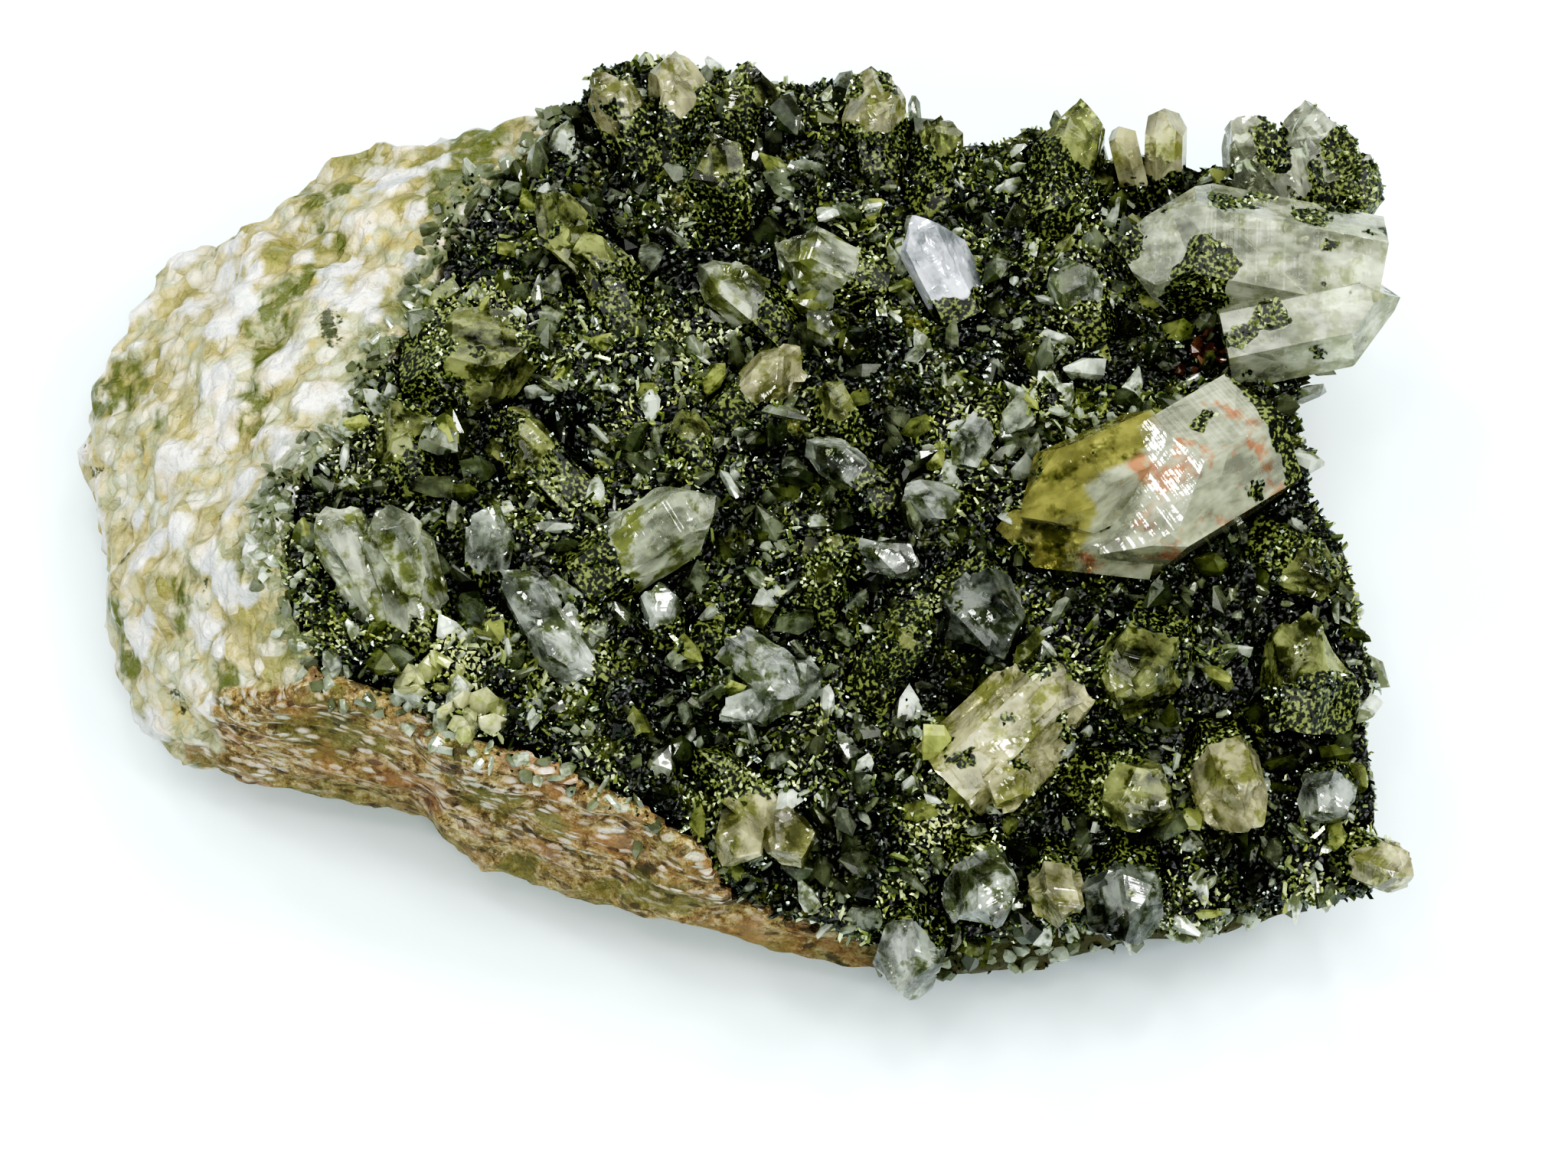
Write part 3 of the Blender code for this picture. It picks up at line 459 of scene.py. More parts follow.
def wall_colour(r, flake):
    mottle = r.clouds(0.0022, 6, 0.78, place=r.stretch((1, 1, 1.25), SLANT))
    browns = r.ramp(mottle, [(0.34, (0.05, 0.034, 0.013)), (0.43, (0.15, 0.10, 0.035)),
                             (0.50, (0.25, 0.165, 0.06)), (0.57, (0.36, 0.27, 0.12)),
                             (0.68, (0.52, 0.48, 0.32))])
    grit = r.clouds(0.0007, 4, 0.8)
    browns = r.mix(r.reach(grit, 0.52, 0.64, 0.0, 0.75), browns, (0.55, 0.50, 0.34))
    browns = r.mix(r.reach(grit, 0.48, 0.38, 0.0, 0.8), browns, (0.035, 0.026, 0.010))
    hue = r.clouds(0.005, 5, 0.65)
    browns = r.mix(r.reach(hue, 0.54, 0.60, 0.0, 0.45), browns, (0.40, 0.26, 0.17))
    browns = r.mix(r.reach(hue, 0.47, 0.40, 0.0, 0.65), browns, (0.13, 0.13, 0.03))
    rust = r.reach(r.clouds(0.009, 4), 0.52, 0.64)
    browns = r.mix(r.sum("MULTIPLY", rust, 0.6), browns, (0.27, 0.125, 0.035))
    here = r.add("ShaderNodeSeparateXYZ", {"Vector": r.place}).outputs
    height = here["Z"]
    green_foot = r.sum("MULTIPLY", r.reach(height, 0.010, 0.004), r.reach(r.clouds(0.006), 0.42, 0.56))
    browns = r.mix(r.sum("MULTIPLY", green_foot, 0.75), browns, (0.15, 0.155, 0.045))
    flake_pick = r.add("ShaderNodeSeparateColor", {"Color": flake.outputs["Color"]}).outputs["Blue"]
    far_left = r.reach(here["X"], -0.026, -0.034)
    high = r.reach(r.sum("ADD", height, r.sum("MULTIPLY", r.clouds(0.006), 0.006)), 0.012, 0.016)
    high = r.sum("MULTIPLY", r.sum("MAXIMUM", high, far_left), 0.8)
    flecks = r.sum("MULTIPLY", r.reach(flake_pick, 0.58, 0.66), r.reach(flake.outputs["Distance"], 0.6, 0.35))
    fleck_tint = r.ramp(r.clouds(0.002, 2), [(0.42, (0.62, 0.60, 0.54)), (0.5, (0.56, 0.44, 0.34)),
                                             (0.58, (0.50, 0.50, 0.42))])
    browns = r.mix(r.sum("MULTIPLY", flecks, high), browns, fleck_tint)
    specks = r.sum("MULTIPLY", r.reach(flake_pick, 0.12, 0.08), 0.6)
    browns = r.mix(specks, browns, (0.03, 0.022, 0.012))
    # painted shade, dark green-black, over the wall's right front
    return r.mix(r.sum("MULTIPLY", r.trait("painted_shade_side"), 0.85), browns, (0.05, 0.055, 0.02))


print("the wall's colours are ready")

# %% [markdown]
# One finish carries both, because the rock is one piece. The stored number "layered" blends them, with its
# edge frayed by noise so that no clean line shows. It blends the relief too: lumps on the rind, grit and
# flakes on the wall.

# %% Finish of the host rock
def rock_finish():
    r = Recipe("quartz rind and schist")
    cells = r.grains(0.0013)
    flake = r.grains(0.0006, place=r.stretch((0.5, 0.8, 1.4), SLANT))
    frayed_edge = r.sum("MULTIPLY", r.sum("SUBTRACT", r.clouds(0.0025, 4), 0.5), 1.2)
    share = r.reach(r.sum("ADD", r.trait("layered"), frayed_edge), 0.38, 0.62)
    r.set(base_color=r.mix(share, rind_colour(r, cells), wall_colour(r, flake)), ior=1.5)
    r.set(roughness=r.reach(share, 0, 1, 0.32, 0.62))
    lumps = r.sum("SUBTRACT", r.clouds(0.0016, 4, 0.6), r.sum("MULTIPLY", cells.outputs["Distance"], 0.7))
    flaking = r.sum("MULTIPLY", flake.outputs["Distance"], 0.4)
    rough_wall = r.sum("SUBTRACT", r.clouds(0.0013, 4, 0.78), flaking)
    relief = r.add("ShaderNodeMix", data_type="FLOAT")
    r.feed(relief.inputs[0], share)
    r.feed(relief.inputs[2], lumps)
    r.feed(relief.inputs[3], rough_wall)
    r.set(normal=r.relief(relief.outputs[0], 0.0006, 0.9))
    return r.material


rock.data.materials.append(rock_finish())
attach(rock, "root")
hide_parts("host_rock")
print("the rock's finish has", len(rock.data.materials[0].node_tree.nodes), "nodes")

# %% [markdown]
# ## Ground of the crust
# Between the crystals the crust is a black-green crumb. The crystals that are scattered over it later hide
# most of it, so its own skin only has to be dark, uneven and a little glossy. A remeshed copy with lumps of
# several sizes is enough, and the scattered crystals are grown on it.

# %% Shape and finish the crust's ground
CRUST_GRAIN = 0.5 * MM
ground = fine_copy("epidote_crust", "epidote_crust_ground", CRUST_GRAIN)
places, normals = skin(ground)
heights = np.array([0.35 * noise.fractal(Vector(p) / 1.7, 0.9, 2.1, 4) for p in places])
move_out(ground, places, normals, heights - 0.15)
crumb = Recipe("epidote crumb")
tone = crumb.clouds(0.003, 6, 0.7)
crumb.set(base_color=crumb.ramp(tone, [(0.42, (0.002, 0.003, 0.001)), (0.52, (0.008, 0.011, 0.003)),
                                       (0.62, (0.06, 0.065, 0.010)), (0.75, (0.20, 0.19, 0.04))]),
          roughness=0.3, ior=1.6)
crumb.set(normal=crumb.relief(crumb.grains(0.0006).outputs["Distance"], 0.0004, 1.0))
ground.data.materials.append(crumb.material)
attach(ground, "root")
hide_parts("epidote_crust")

# %% [markdown]
# ## Crystals to scatter
# Epidote grows as slim prisms with a slanting end, quartz as six-sided points with unequal faces. Each is a
# mesh of a dozen or so faces, one millimetre wide and tall, that the scatter scales. Thousands of copies are
# needed, so a finer form would only cost faces that nobody sees. Three needles and eight quartz points are
# enough, because no two copies lie the same way.

# %% Make the small crystals
def form_of(name, points, faces):
    mesh = bpy.data.meshes.new(name)
    mesh.from_pydata([tuple(v * MM for v in p) for p in points], [], faces)
    return bpy.data.objects.new(name, mesh)


def needle_form(name, sides, shoulder, taper, start=0.0):
    """An open-footed prism with a slanting flat end."""
    around = [start + 2 * math.pi * k / sides for k in range(sides)]
    foot = [(0.5 * math.cos(a), 0.5 * math.sin(a), 0.0) for a in around]
    neck = []
    for k, a in enumerate(around):
        neck.append((0.5 * taper * math.cos(a), 0.5 * taper * math.sin(a), shoulder[k % len(shoulder)]))
    faces = [(k, (k + 1) % sides, sides + (k + 1) % sides, sides + k) for k in range(sides)]
    faces.append(tuple(range(sides, 2 * sides)))
    return form_of(name, foot + neck, faces)


def box_of(name, forms):
    made = bpy.data.collections.new(name)
    for form in forms:
        made.objects.link(form)
    return made


def shard_form(name, pick):
    """A quartz point with unequal faces, flattened as pick, a number, says."""
    sides = 6
    around = [2 * math.pi * k / sides + 0.25 * noise.cell(Vector((pick, k, 1.5))) for k in range(sides)]
    flat = 0.75 + 0.25 * noise.cell(Vector((pick, 9.5, 2.5)))
    points = []
    for level in (0, 1):
        for k, a in enumerate(around):
            reach = 0.5 * (1 + 0.18 * noise.cell(Vector((pick, k, 3.5)))) * (1 if level == 0 else 0.92)
            high = 0.0 if level == 0 else 0.6 + 0.16 * noise.cell(Vector((pick, k, 4.5)))
            points.append((reach * math.cos(a), flat * reach * math.sin(a), high))
    aside = 0.14 * noise.cell(Vector((pick, 7.5, 5.5)))
    points += [(aside, 0.1 * flat, 1.0), (aside, -0.16 * flat, 0.97)]
    faces = [(k, (k + 1) % sides, sides + (k + 1) % sides, sides + k) for k in range(sides)]
    faces += [(6, 7, 12), (7, 8, 12), (8, 9, 12), (9, 13, 12),
              (9, 10, 13), (10, 11, 13), (11, 6, 13), (6, 12, 13)]
    return form_of(name, points, faces)


needles = box_of("epidote needles", [
    needle_form("needle a", 3, (0.75, 1.0, 0.9), 0.9),
    needle_form("needle b", 3, (0.9, 0.7, 1.0), 0.8, 0.4),
    needle_form("needle c", 4, (0.8, 0.8, 1.0, 1.0), 0.85, 0.8),
])
shards = box_of("small quartz points", [shard_form("shard " + str(k), 3.5 + 11 * k) for k in range(8)])

# %% [markdown]
# ## A tree that grows crystals
# Small crystals repeat by the thousand and follow a surface, which is work for Geometry Nodes. The tree
# strews points at a least distance, thins them in patches, gives each point a size, a lean and a tone, puts
# a form on it and makes everything real at the end, because instances don't survive an export. The tone is
# partly random and partly painted shade: broad dark patches of it stand for the hollows of the crust. Patches
# come from noise, from the distance to drawn lines and from the number "coat" of the carrier, each with a
# weight.
# Sizes are named inputs, so one tree makes the epidote, its golden tufts, the sprinkles and the small quartz.

# %% Build the growth tree
INPUTS = [("Spacing", "Float", 0.4), ("Density", "Float", 6.0), ("Seed", "Int", 1),
          ("Thinnest", "Float", 0.3), ("Thickest", "Float", 0.5), ("Shortest", "Float", 0.7),
          ("Longest", "Float", 1.4), ("Lean", "Float", 0.7), ("Sink", "Float", 0.2),
          ("Patch size", "Float", 4.0), ("Patch from", "Float", 0.0), ("Patch to", "Float", 0.1),
          ("Patch shift", "Float", 0.0), ("Facing", "Float", -0.3), ("Ridge weight", "Float", 0.0),
          ("Ridge reach", "Float", 3.0), ("Coat weight", "Float", 0.0),
          ("Shade patch", "Float", 7.0), ("Ridges", "Object", None), ("Forms", "Collection", None),
          ("Finish", "Material", None)]


def growth_tree():
    tree = bpy.data.node_groups.new("crystal growth", "GeometryNodeTree")
    tree.interface.new_socket("Geometry", in_out="INPUT", socket_type="NodeSocketGeometry")
    tree.interface.new_socket("Geometry", in_out="OUTPUT", socket_type="NodeSocketGeometry")
    for label, kind, usual in INPUTS:
        socket = tree.interface.new_socket(label, in_out="INPUT", socket_type="NodeSocket" + kind)
        if usual is not None:
            socket.default_value = usual

    def add(kind, feeds=(), **settings):
        made = tree.nodes.new(kind)
        for key, value in settings.items():
            setattr(made, key, value)
        for key, value in dict(feeds).items():
            if isinstance(value, bpy.types.NodeSocket):
                tree.links.new(value, made.inputs[key])
            else:
                made.inputs[key].default_value = value
        return made

    def sum(way, one, other):
        return add("ShaderNodeMath", {0: one, 1: other}, operation=way).outputs[0]

    def chance(low, high, seed):
        feeds = {2: low, 3: high, "Seed": seed}
        return add("FunctionNodeRandomValue", feeds, data_type="FLOAT").outputs[1]

    given = add("NodeGroupInput").outputs
    seed = given["Seed"]
    place = add("GeometryNodeInputPosition").outputs[0]
    shift = add("ShaderNodeCombineXYZ", {"X": given["Patch shift"]}).outputs[0]
    shifted = add("ShaderNodeVectorMath", {0: place, 1: shift}, operation="ADD").outputs[0]
    scale = sum("DIVIDE", 1000.0, given["Patch size"])
    patch = add("ShaderNodeTexNoise", {"Vector": shifted, "Scale": scale, "Detail": 3.0}).outputs["Fac"]
    ridges = add("GeometryNodeObjectInfo", {"Object": given["Ridges"]}).outputs["Geometry"]
    near = add("GeometryNodeProximity", {"Geometry": ridges}, target_element="EDGES").outputs["Distance"]
    near = add("ShaderNodeMapRange", {"Value": sum("MULTIPLY", near, 1000.0), "From Min": 0.0,
                                      "From Max": given["Ridge reach"], "To Min": 1.0, "To Max": 0.0},
               interpolation_type="SMOOTHSTEP").outputs["Result"]
    weight = sum("ADD", patch, sum("MULTIPLY", near, given["Ridge weight"]))
    coat = add("GeometryNodeInputNamedAttribute", {"Name": "coat"}, data_type="FLOAT").outputs[0]
    weight = sum("ADD", weight, sum("MULTIPLY", coat, given["Coat weight"]))
    wanted = add("ShaderNodeMapRange", {"Value": weight, "From Min": given["Patch from"],
                                        "From Max": given["Patch to"]}).outputs["Result"]
    normal = add("GeometryNodeInputNormal").outputs[0]
    up = add("ShaderNodeSeparateXYZ", {0: normal}).outputs["Z"]
    faces = add("FunctionNodeCompare", {0: up, 1: given["Facing"]}, data_type="FLOAT",
                operation="GREATER_THAN").outputs[0]
    strew = add("GeometryNodeDistributePointsOnFaces",
                {"Mesh": given["Geometry"], "Selection": faces, "Density Factor": wanted, "Seed": seed,
                 "Distance Min": sum("DIVIDE", given["Spacing"], 1000.0),
                 "Density Max": sum("MULTIPLY", given["Density"], 1e6)},
                distribute_method="POISSON")
    # painted shade: broad noise patches darken the tone and stand for the shade in the crust's hollows; the
    # random share is the crystals' own tone
    hollow_shade_scale = sum("DIVIDE", 1000.0, given["Shade patch"])
    hollow_shade = add("ShaderNodeTexNoise", {"Vector": place, "Scale": hollow_shade_scale, "Detail": 2.0}).outputs["Fac"]
    hollow_shade = add("ShaderNodeMapRange", {"Value": hollow_shade, "From Min": 0.40, "From Max": 0.60}).outputs["Result"]
    tone = sum("ADD", sum("MULTIPLY", hollow_shade, 0.5), sum("MULTIPLY", chance(0.0, 1.0, 11), 0.5))
    # near the golden ridges the tone is lighter: partly paler epidote, partly painted highlight on the ridge
    # tops
    tone = sum("ADD", tone, sum("MULTIPLY", near, 0.3))
    kept = add("GeometryNodeStoreNamedAttribute",
               {"Geometry": strew.outputs["Points"], "Name": "tone", "Value": tone},
               data_type="FLOAT", domain="POINT").outputs[0]
    deep = sum("DIVIDE", given["Sink"], -1000.0)
    inward = add("ShaderNodeVectorMath", {0: strew.outputs["Normal"], "Scale": deep},
                 operation="SCALE").outputs[0]
    sunk = add("GeometryNodeSetPosition", {"Geometry": kept, "Offset": inward}).outputs[0]
    lean = given["Lean"]
    back = sum("MULTIPLY", lean, -1.0)
    turn = add("ShaderNodeCombineXYZ", {"X": chance(back, lean, 3), "Y": chance(back, lean, 4),
                                        "Z": chance(0.0, 6.283, 5)}).outputs[0]
    turn = add("FunctionNodeEulerToRotation", {0: turn}).outputs[0]
    turned = add("FunctionNodeRotateRotation", {0: strew.outputs["Rotation"], 1: turn},
                 rotation_space="LOCAL").outputs[0]
    thick = chance(given["Thinnest"], given["Thickest"], 6)
    size = add("ShaderNodeCombineXYZ", {"X": thick, "Y": sum("MULTIPLY", thick, chance(0.7, 1.0, 8)),
                                        "Z": chance(given["Shortest"], given["Longest"], 7)}).outputs[0]
    forms = add("GeometryNodeCollectionInfo",
                {"Collection": given["Forms"], "Separate Children": True, "Reset Children": True}).outputs[0]
    copies = add("GeometryNodeInstanceOnPoints",
                 {"Points": sunk, "Instance": forms, "Pick Instance": True,
                  "Rotation": turned, "Scale": size}).outputs[0]
    real = add("GeometryNodeRealizeInstances", {"Geometry": copies}).outputs[0]
    done = add("GeometryNodeSetMaterial", {"Geometry": real, "Material": given["Finish"]}).outputs[0]
    add("NodeGroupOutput", {0: done})
    return tree


GROWTH = growth_tree()
SOCKETS = {item.name: item.identifier for item in GROWTH.interface.items_tree if item.in_out == "INPUT"}
print("the growth tree has", len(GROWTH.nodes), "nodes")

# %% [markdown]
# A carrier is the piece that the crystals grow on. Its mesh is copied, the tree runs on the copy, and the
# result is turned into a plain mesh, so that the new piece holds the crystals alone.

# %% Helper that grows a piece
def grow(name, carrier, slot, **values):
    """Strews crystals over a carrier and returns them as one plain piece."""
    bed = bpy.data.objects.new(name, carrier.data.copy())
    LOOSE.objects.link(bed)
    growth = bed.modifiers.new("growth", "NODES")
    growth.node_group = GROWTH
    for key, value in values.items():
        growth[SOCKETS[key.replace("_", " ").capitalize()]] = value
    settle(bed)
    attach(bed, "root")
    bed.data.calc_loop_triangles()
    print(name, "has", len(bed.data.loop_triangles), "triangles")
    return bed


print("inputs of the tree:", len(SOCKETS))

# %% [markdown]
# Some ridges of the crust are golden-green: partly epidote that has grown longer and paler, partly a painted
# highlight on the lit ridge tops. Their lines are drawn once, as a loose chain of edges, and the tree measures
# how near a crystal is to them.

# %% Draw the golden ridges
GOLD_RIDGES = [
    [(14, 5, 21), (21.3, 7.7, 21), (33, 9, 20)],
    [(-22, 14, 22), (-14, 15.3, 23), (-4.4, 12, 22.5)],
    [(-29.3, -11.4, 22), (-18.5, -13.8, 22), (-11, -13.8, 21)],
    [(31.8, -26.6, 14), (40, -28.5, 12)],
    [(42.6, 26.2, 20), (45.5, 24, 20)],
    [(13.6, -24, 15), (18.3, -24.5, 15)],
    [(31, -19.7, 16), (38.7, -14.2, 17)],
    [(13.4, 27.6, 20.5), (22.3, 24.2, 20)],
]


def line_object(name, chains):
    points, edges = [], []
    for chain in chains:
        for k, (x, y, z) in enumerate(chain):
            if k:
                edges.append((len(points) - 1, len(points)))
            points.append(((x + SHIFT_X) * MM, (y + SHIFT_Y) * MM, z * MM))
    mesh = bpy.data.meshes.new(name)
    mesh.from_pydata(points, edges, [])
    return bpy.data.objects.new(name, mesh)


ridges = line_object("golden ridges", GOLD_RIDGES)
print("edges on the golden ridges:", len(ridges.data.edges))

# %% [markdown]
# ## Epidote
# Fresh epidote is so dark a green that it looks black, and its thin ends let yellow-green light through. The
# tone that each crystal carries picks its colour, so neighbours differ as they do in the stone; its broad dark
# patches are painted shade of the hollows, and its palest yellow-green stops are partly the crystals' own
# colour and partly painted highlight on whole crystals. The high index, the low roughness and a strong mirror
# shine with a touch of green give the hard sparkle.

# %% Finishes of the epidote
def epidote_finish(name, stops, roughness):
    r = Recipe(name)
    r.set(base_color=r.ramp(r.trait("tone"), stops), roughness=roughness, ior=1.75, specular_ior_level=0.9,
          specular_tint=(0.90, 1.0, 0.88, 1.0))
    r.set(normal=r.relief(r.clouds(0.0003, 0), 0.00005, 0.5))
    return r.material


# the palest stops are partly the epidote's own yellow-green and partly painted highlight
DARK = [(0.25, (0.001, 0.002, 0.001)), (0.42, (0.006, 0.009, 0.003)), (0.56, (0.045, 0.058, 0.014)),
        (0.72, (0.21, 0.24, 0.08)), (0.95, (0.60, 0.63, 0.40))]
GOLD = [(0.2, (0.03, 0.038, 0.008)), (0.5, (0.15, 0.18, 0.04)), (0.75, (0.36, 0.38, 0.12)),
        (1.0, (0.66, 0.66, 0.36))]
dark_epidote = epidote_finish("black-green epidote", DARK, 0.16)
gold_epidote = epidote_finish("golden epidote", GOLD, 0.25)
print("finishes:", len(bpy.data.materials))

# %% [markdown]
# The needles grow close together all over the crust, in two pieces so that neither gets too heavy. Thicker
# prisms stand between them in patches, and paler tufts cluster along the golden ridges.

# %% Grow the epidote
FEW = 1.0
common = {"forms": needles, "ridges": ridges, "sink": 0.15}
for part, seed in (("epidote_fine_a", 3), ("epidote_fine_b", 4)):
    grow(part, ground, "epidote", finish=dark_epidote, seed=seed, spacing=0.40, density=14 * FEW,
         thinnest=0.18, thickest=0.36, shortest=0.25, longest=0.65, lean=1.1, patch_size=3.0,
         patch_from=0.3, patch_to=0.42, **common)
grow("epidote_prisms", ground, "epidote", finish=dark_epidote, seed=8, spacing=0.8, density=2.5 * FEW,
     thinnest=0.3, thickest=0.5, shortest=0.7, longest=1.3, lean=1.0, patch_size=5.0, patch_from=0.42,
     patch_to=0.55, **common)
grow("epidote_tufts", ground, "epidote", finish=gold_epidote, seed=21, spacing=0.34, density=14 * FEW,
     thinnest=0.18, thickest=0.34, shortest=0.35, longest=0.8, lean=1.0, patch_size=2.8, patch_from=0.54,
     patch_to=0.62, patch_shift=0.05, ridge_weight=0.25, ridge_reach=3.0, **common)

# %% [markdown]
# ## Quartz
# Quartz is clear, but few of these crystals are: veils, trapped epidote and films of stain make them milky,
# smoky, olive or cream. Each finish is plain glass with an index of 1.54 and a tint that deepens with
# thickness. Soft clouds lower the transmission where the crystal is milky, and the shader then shows its
# white body there. A few crystals look unlike the rest of their kind and get a look of their own; the silvery
# face is partly painted reflection: its pale blue-grey body stands for the light that the face mirrors.

# %% Looks of the quartz
QUARTZ = {
    # finish: body colour, second body colour, lowest and highest transmission, tint, tint density, roughness
    "milky_quartz": ((0.68, 0.70, 0.57), (0.46, 0.48, 0.33), 0.38, 0.88, (0.84, 0.87, 0.74), 50, 0.06),
    # painted reflection: pale blue-grey body and low transmission, partly the face's milky colour, partly the
    # light it mirrors
    "silver quartz": ((0.70, 0.72, 0.75), (0.40, 0.43, 0.44), 0.15, 0.70, (0.86, 0.88, 0.90), 40, 0.05),
    "grey milky quartz": ((0.60, 0.63, 0.50), (0.26, 0.28, 0.10), 0.30, 0.90, (0.80, 0.84, 0.72), 60, 0.05),
    "clear_quartz": ((0.73, 0.77, 0.69), (0.22, 0.25, 0.13), 0.40, 0.96, (0.80, 0.84, 0.74), 60, 0.03),
    "smoky_quartz": ((0.38, 0.41, 0.35), (0.09, 0.11, 0.05), 0.45, 0.96, (0.58, 0.62, 0.52), 120, 0.05),
    "olive_quartz": ((0.50, 0.52, 0.24), (0.10, 0.11, 0.012), 0.40, 0.95, (0.78, 0.78, 0.42), 90, 0.05),
    "cream_quartz": ((0.68, 0.65, 0.44), (0.36, 0.36, 0.14), 0.35, 0.85, (0.86, 0.83, 0.56), 60, 0.06),
    "peach_quartz": ((0.62, 0.64, 0.50), (0.66, 0.36, 0.22), 0.40, 0.88, (0.86, 0.84, 0.66), 60, 0.04),
}
LOOKS = {"quartz_silver_face": "silver quartz"}
for part in ("grey_left", "grey_right", "grey_low", "frost", "long_milky"):
    LOOKS["quartz_" + part] = "grey milky quartz"
for part in ("twin_points", "brown_shard"):
    LOOKS["quartz_" + part] = "cream_quartz"
SMALL_QUARTZ = {
    "small clear": ((0.75, 0.79, 0.70), (0.20, 0.22, 0.13), 0.25, 0.92, (0.80, 0.84, 0.68), 60, 0.03),
    "small smoky": ((0.34, 0.37, 0.27), (0.10, 0.12, 0.05), 0.35, 0.94, (0.64, 0.68, 0.50), 90, 0.05),
    "small olive": ((0.48, 0.50, 0.20), (0.12, 0.14, 0.03), 0.30, 0.90, (0.76, 0.76, 0.42), 90, 0.05),
    "frosted": ((0.50, 0.54, 0.45), (0.20, 0.22, 0.13), 0.10, 0.60, (0.80, 0.84, 0.68), 60, 0.05),
}
print("looks of quartz:", len(QUARTZ) + len(SMALL_QUARTZ))

# %% [markdown]
# The prism faces of quartz are ribbed across and its veils run along it, whichever way it leans. So each
# larger crystal stores its own places, turned upright, and how far a point lies from foot to tip. Where its
# number "coat" plus noise passes a limit it is crusted: dark and no longer clear. The epidote that grows on
# the crystals later uses the same noise and limit, so that the crumbs lie where the crystals are dark.

# %% Finish of the quartz
PATCH_SIZE = 3.2        # mm, of the clumps of epidote on the quartz
BARE = 0.71             # noise plus coat at which a clump begins
RIBS = 1900.0           # how closely the faces are ribbed


def quartz_finish(name, body, second, least, most, tint, density, roughness, grown=True):
    """Glass with veils; on a grown crystal the veils run along its own axis."""
    r = Recipe(name)
    r.outside = r.place
    if grown:
        r.place = r.add("ShaderNodeAttribute", attribute_name="own_place").outputs["Vector"]
    streaks = r.stretch((1, 1, 0.5))
    blotch = r.reach(r.clouds(0.0026, 4, 0.68), 0.49, 0.58)
    if name == "peach quartz":
        blotch = r.reach(r.clouds(0.0036, 4, 0.65), 0.55, 0.64)
    broken = r.grains(0.0022, place=r.stretch((1, 1, 0.45), (0.1, 0.06, 0.2)))
    pick = r.add("ShaderNodeSeparateColor", {"Color": broken.outputs["Color"]}).outputs["Red"]
    veil = r.sum("ADD", r.sum("MULTIPLY", r.reach(r.clouds(0.0018, 3, 0.6, place=streaks), 0.38, 0.62), 0.6),
                 r.sum("MULTIPLY", pick, 0.4))
    if grown:
        veil = r.sum("ADD", r.sum("MULTIPLY", veil, 0.7), r.sum("MULTIPLY", r.trait("foot_to_tip"), 0.3))
    colour = r.mix(blotch, body, second)
    clear = r.reach(veil, 0.15, 0.85, least, most)
    if not grown:
        # low tone darkens the small quartz too, so it carries the painted shade patches as well as their own
        # tone
        colour = r.mix(r.reach(r.trait("tone"), 0.75, 0.3), colour, second)
        clear = r.reach(r.sum("ADD", veil, r.trait("tone")), 0.5, 1.4, most, least)
    worn = r.reach(pick, 0.1, 0.9, roughness * 0.4, roughness * 2.0)
    if grown:
        stained = r.trait("stained")
        colour = r.mix(stained, colour, r.mix(blotch, (0.46, 0.43, 0.15), (0.10, 0.105, 0.014)))
        patch_feeds = {"Vector": r.outside, "Scale": 1000 / PATCH_SIZE, "Detail": 3.0}
        patch = r.add("ShaderNodeTexNoise", patch_feeds)
        crusted = r.sum("ADD", patch.outputs["Fac"], r.trait("coat"))
        crusted = r.reach(crusted, BARE - 0.01, BARE + 0.02)
        crumbs = [(0.45, (0.004, 0.006, 0.002)), (0.53, (0.05, 0.06, 0.015)), (0.6, (0.20, 0.22, 0.08))]
        crumb_tone = r.ramp(r.clouds(0.0003, 1), crumbs)
        colour = r.mix(crusted, colour, crumb_tone)
        clear = r.sum("MULTIPLY", clear, r.sum("SUBTRACT", 1.0, crusted))
        worn = r.sum("ADD", worn, r.sum("MULTIPLY", crusted, 0.3))
    r.set(base_color=colour, ior=1.54)
    r.set(transmission_weight=clear)
    r.set(roughness=worn)
    fine = r.relief(r.clouds(0.0016, 2, place=streaks), 0.00016, 0.4)
    if grown:
        height = r.add("ShaderNodeSeparateXYZ", {"Vector": r.place}).outputs["Z"]
        ribs = r.add("ShaderNodeTexNoise", {"W": height, "Scale": RIBS, "Detail": 2.0}, noise_dimensions="1D")
        fine = r.relief(ribs.outputs["Fac"], 0.00010, 0.2, under=fine)
    r.set(normal=fine)
    r.tint(tint, density)
    return r.material


finishes = {name: quartz_finish(name.replace("_", " "), *values) for name, values in QUARTZ.items()}
print("quartz finishes:", len(finishes))

# %% [markdown]
# ## The larger crystals
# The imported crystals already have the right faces, so their forms are kept. Each is copied and its doubles
# are merged. The axis of a crystal is the one direction that its prism faces don't look in, which the areas
# and normals of its faces give. Long edges are cut until the faces are small, because a number that is
# stored on points can only vary from point to point.

# %% Axis and small faces
def crystal_axis(mesh):
    spread = np.zeros((3, 3))
    for face in mesh.polygons:
        n = np.array(face.normal)
        spread += face.area * np.outer(n, n)
    axis = np.linalg.eigh(spread)[1][:, 0]
    return axis if axis[2] >= 0 else -axis


def divide(piece, grain):
    """Cuts long edges until none is longer than the grain, so that stored numbers can vary on a face."""
    work = bmesh.new()
    work.from_mesh(piece.data)
    for _ in range(7):
        bmesh.ops.triangulate(work, faces=work.faces)
        long_edges = [e for e in work.edges if e.calc_length() > grain]
        if not long_edges:
            break
        bmesh.ops.subdivide_edges(work, edges=long_edges, cuts=1)
    bmesh.ops.triangulate(work, faces=work.faces)
    work.to_mesh(piece.data)
    work.free()


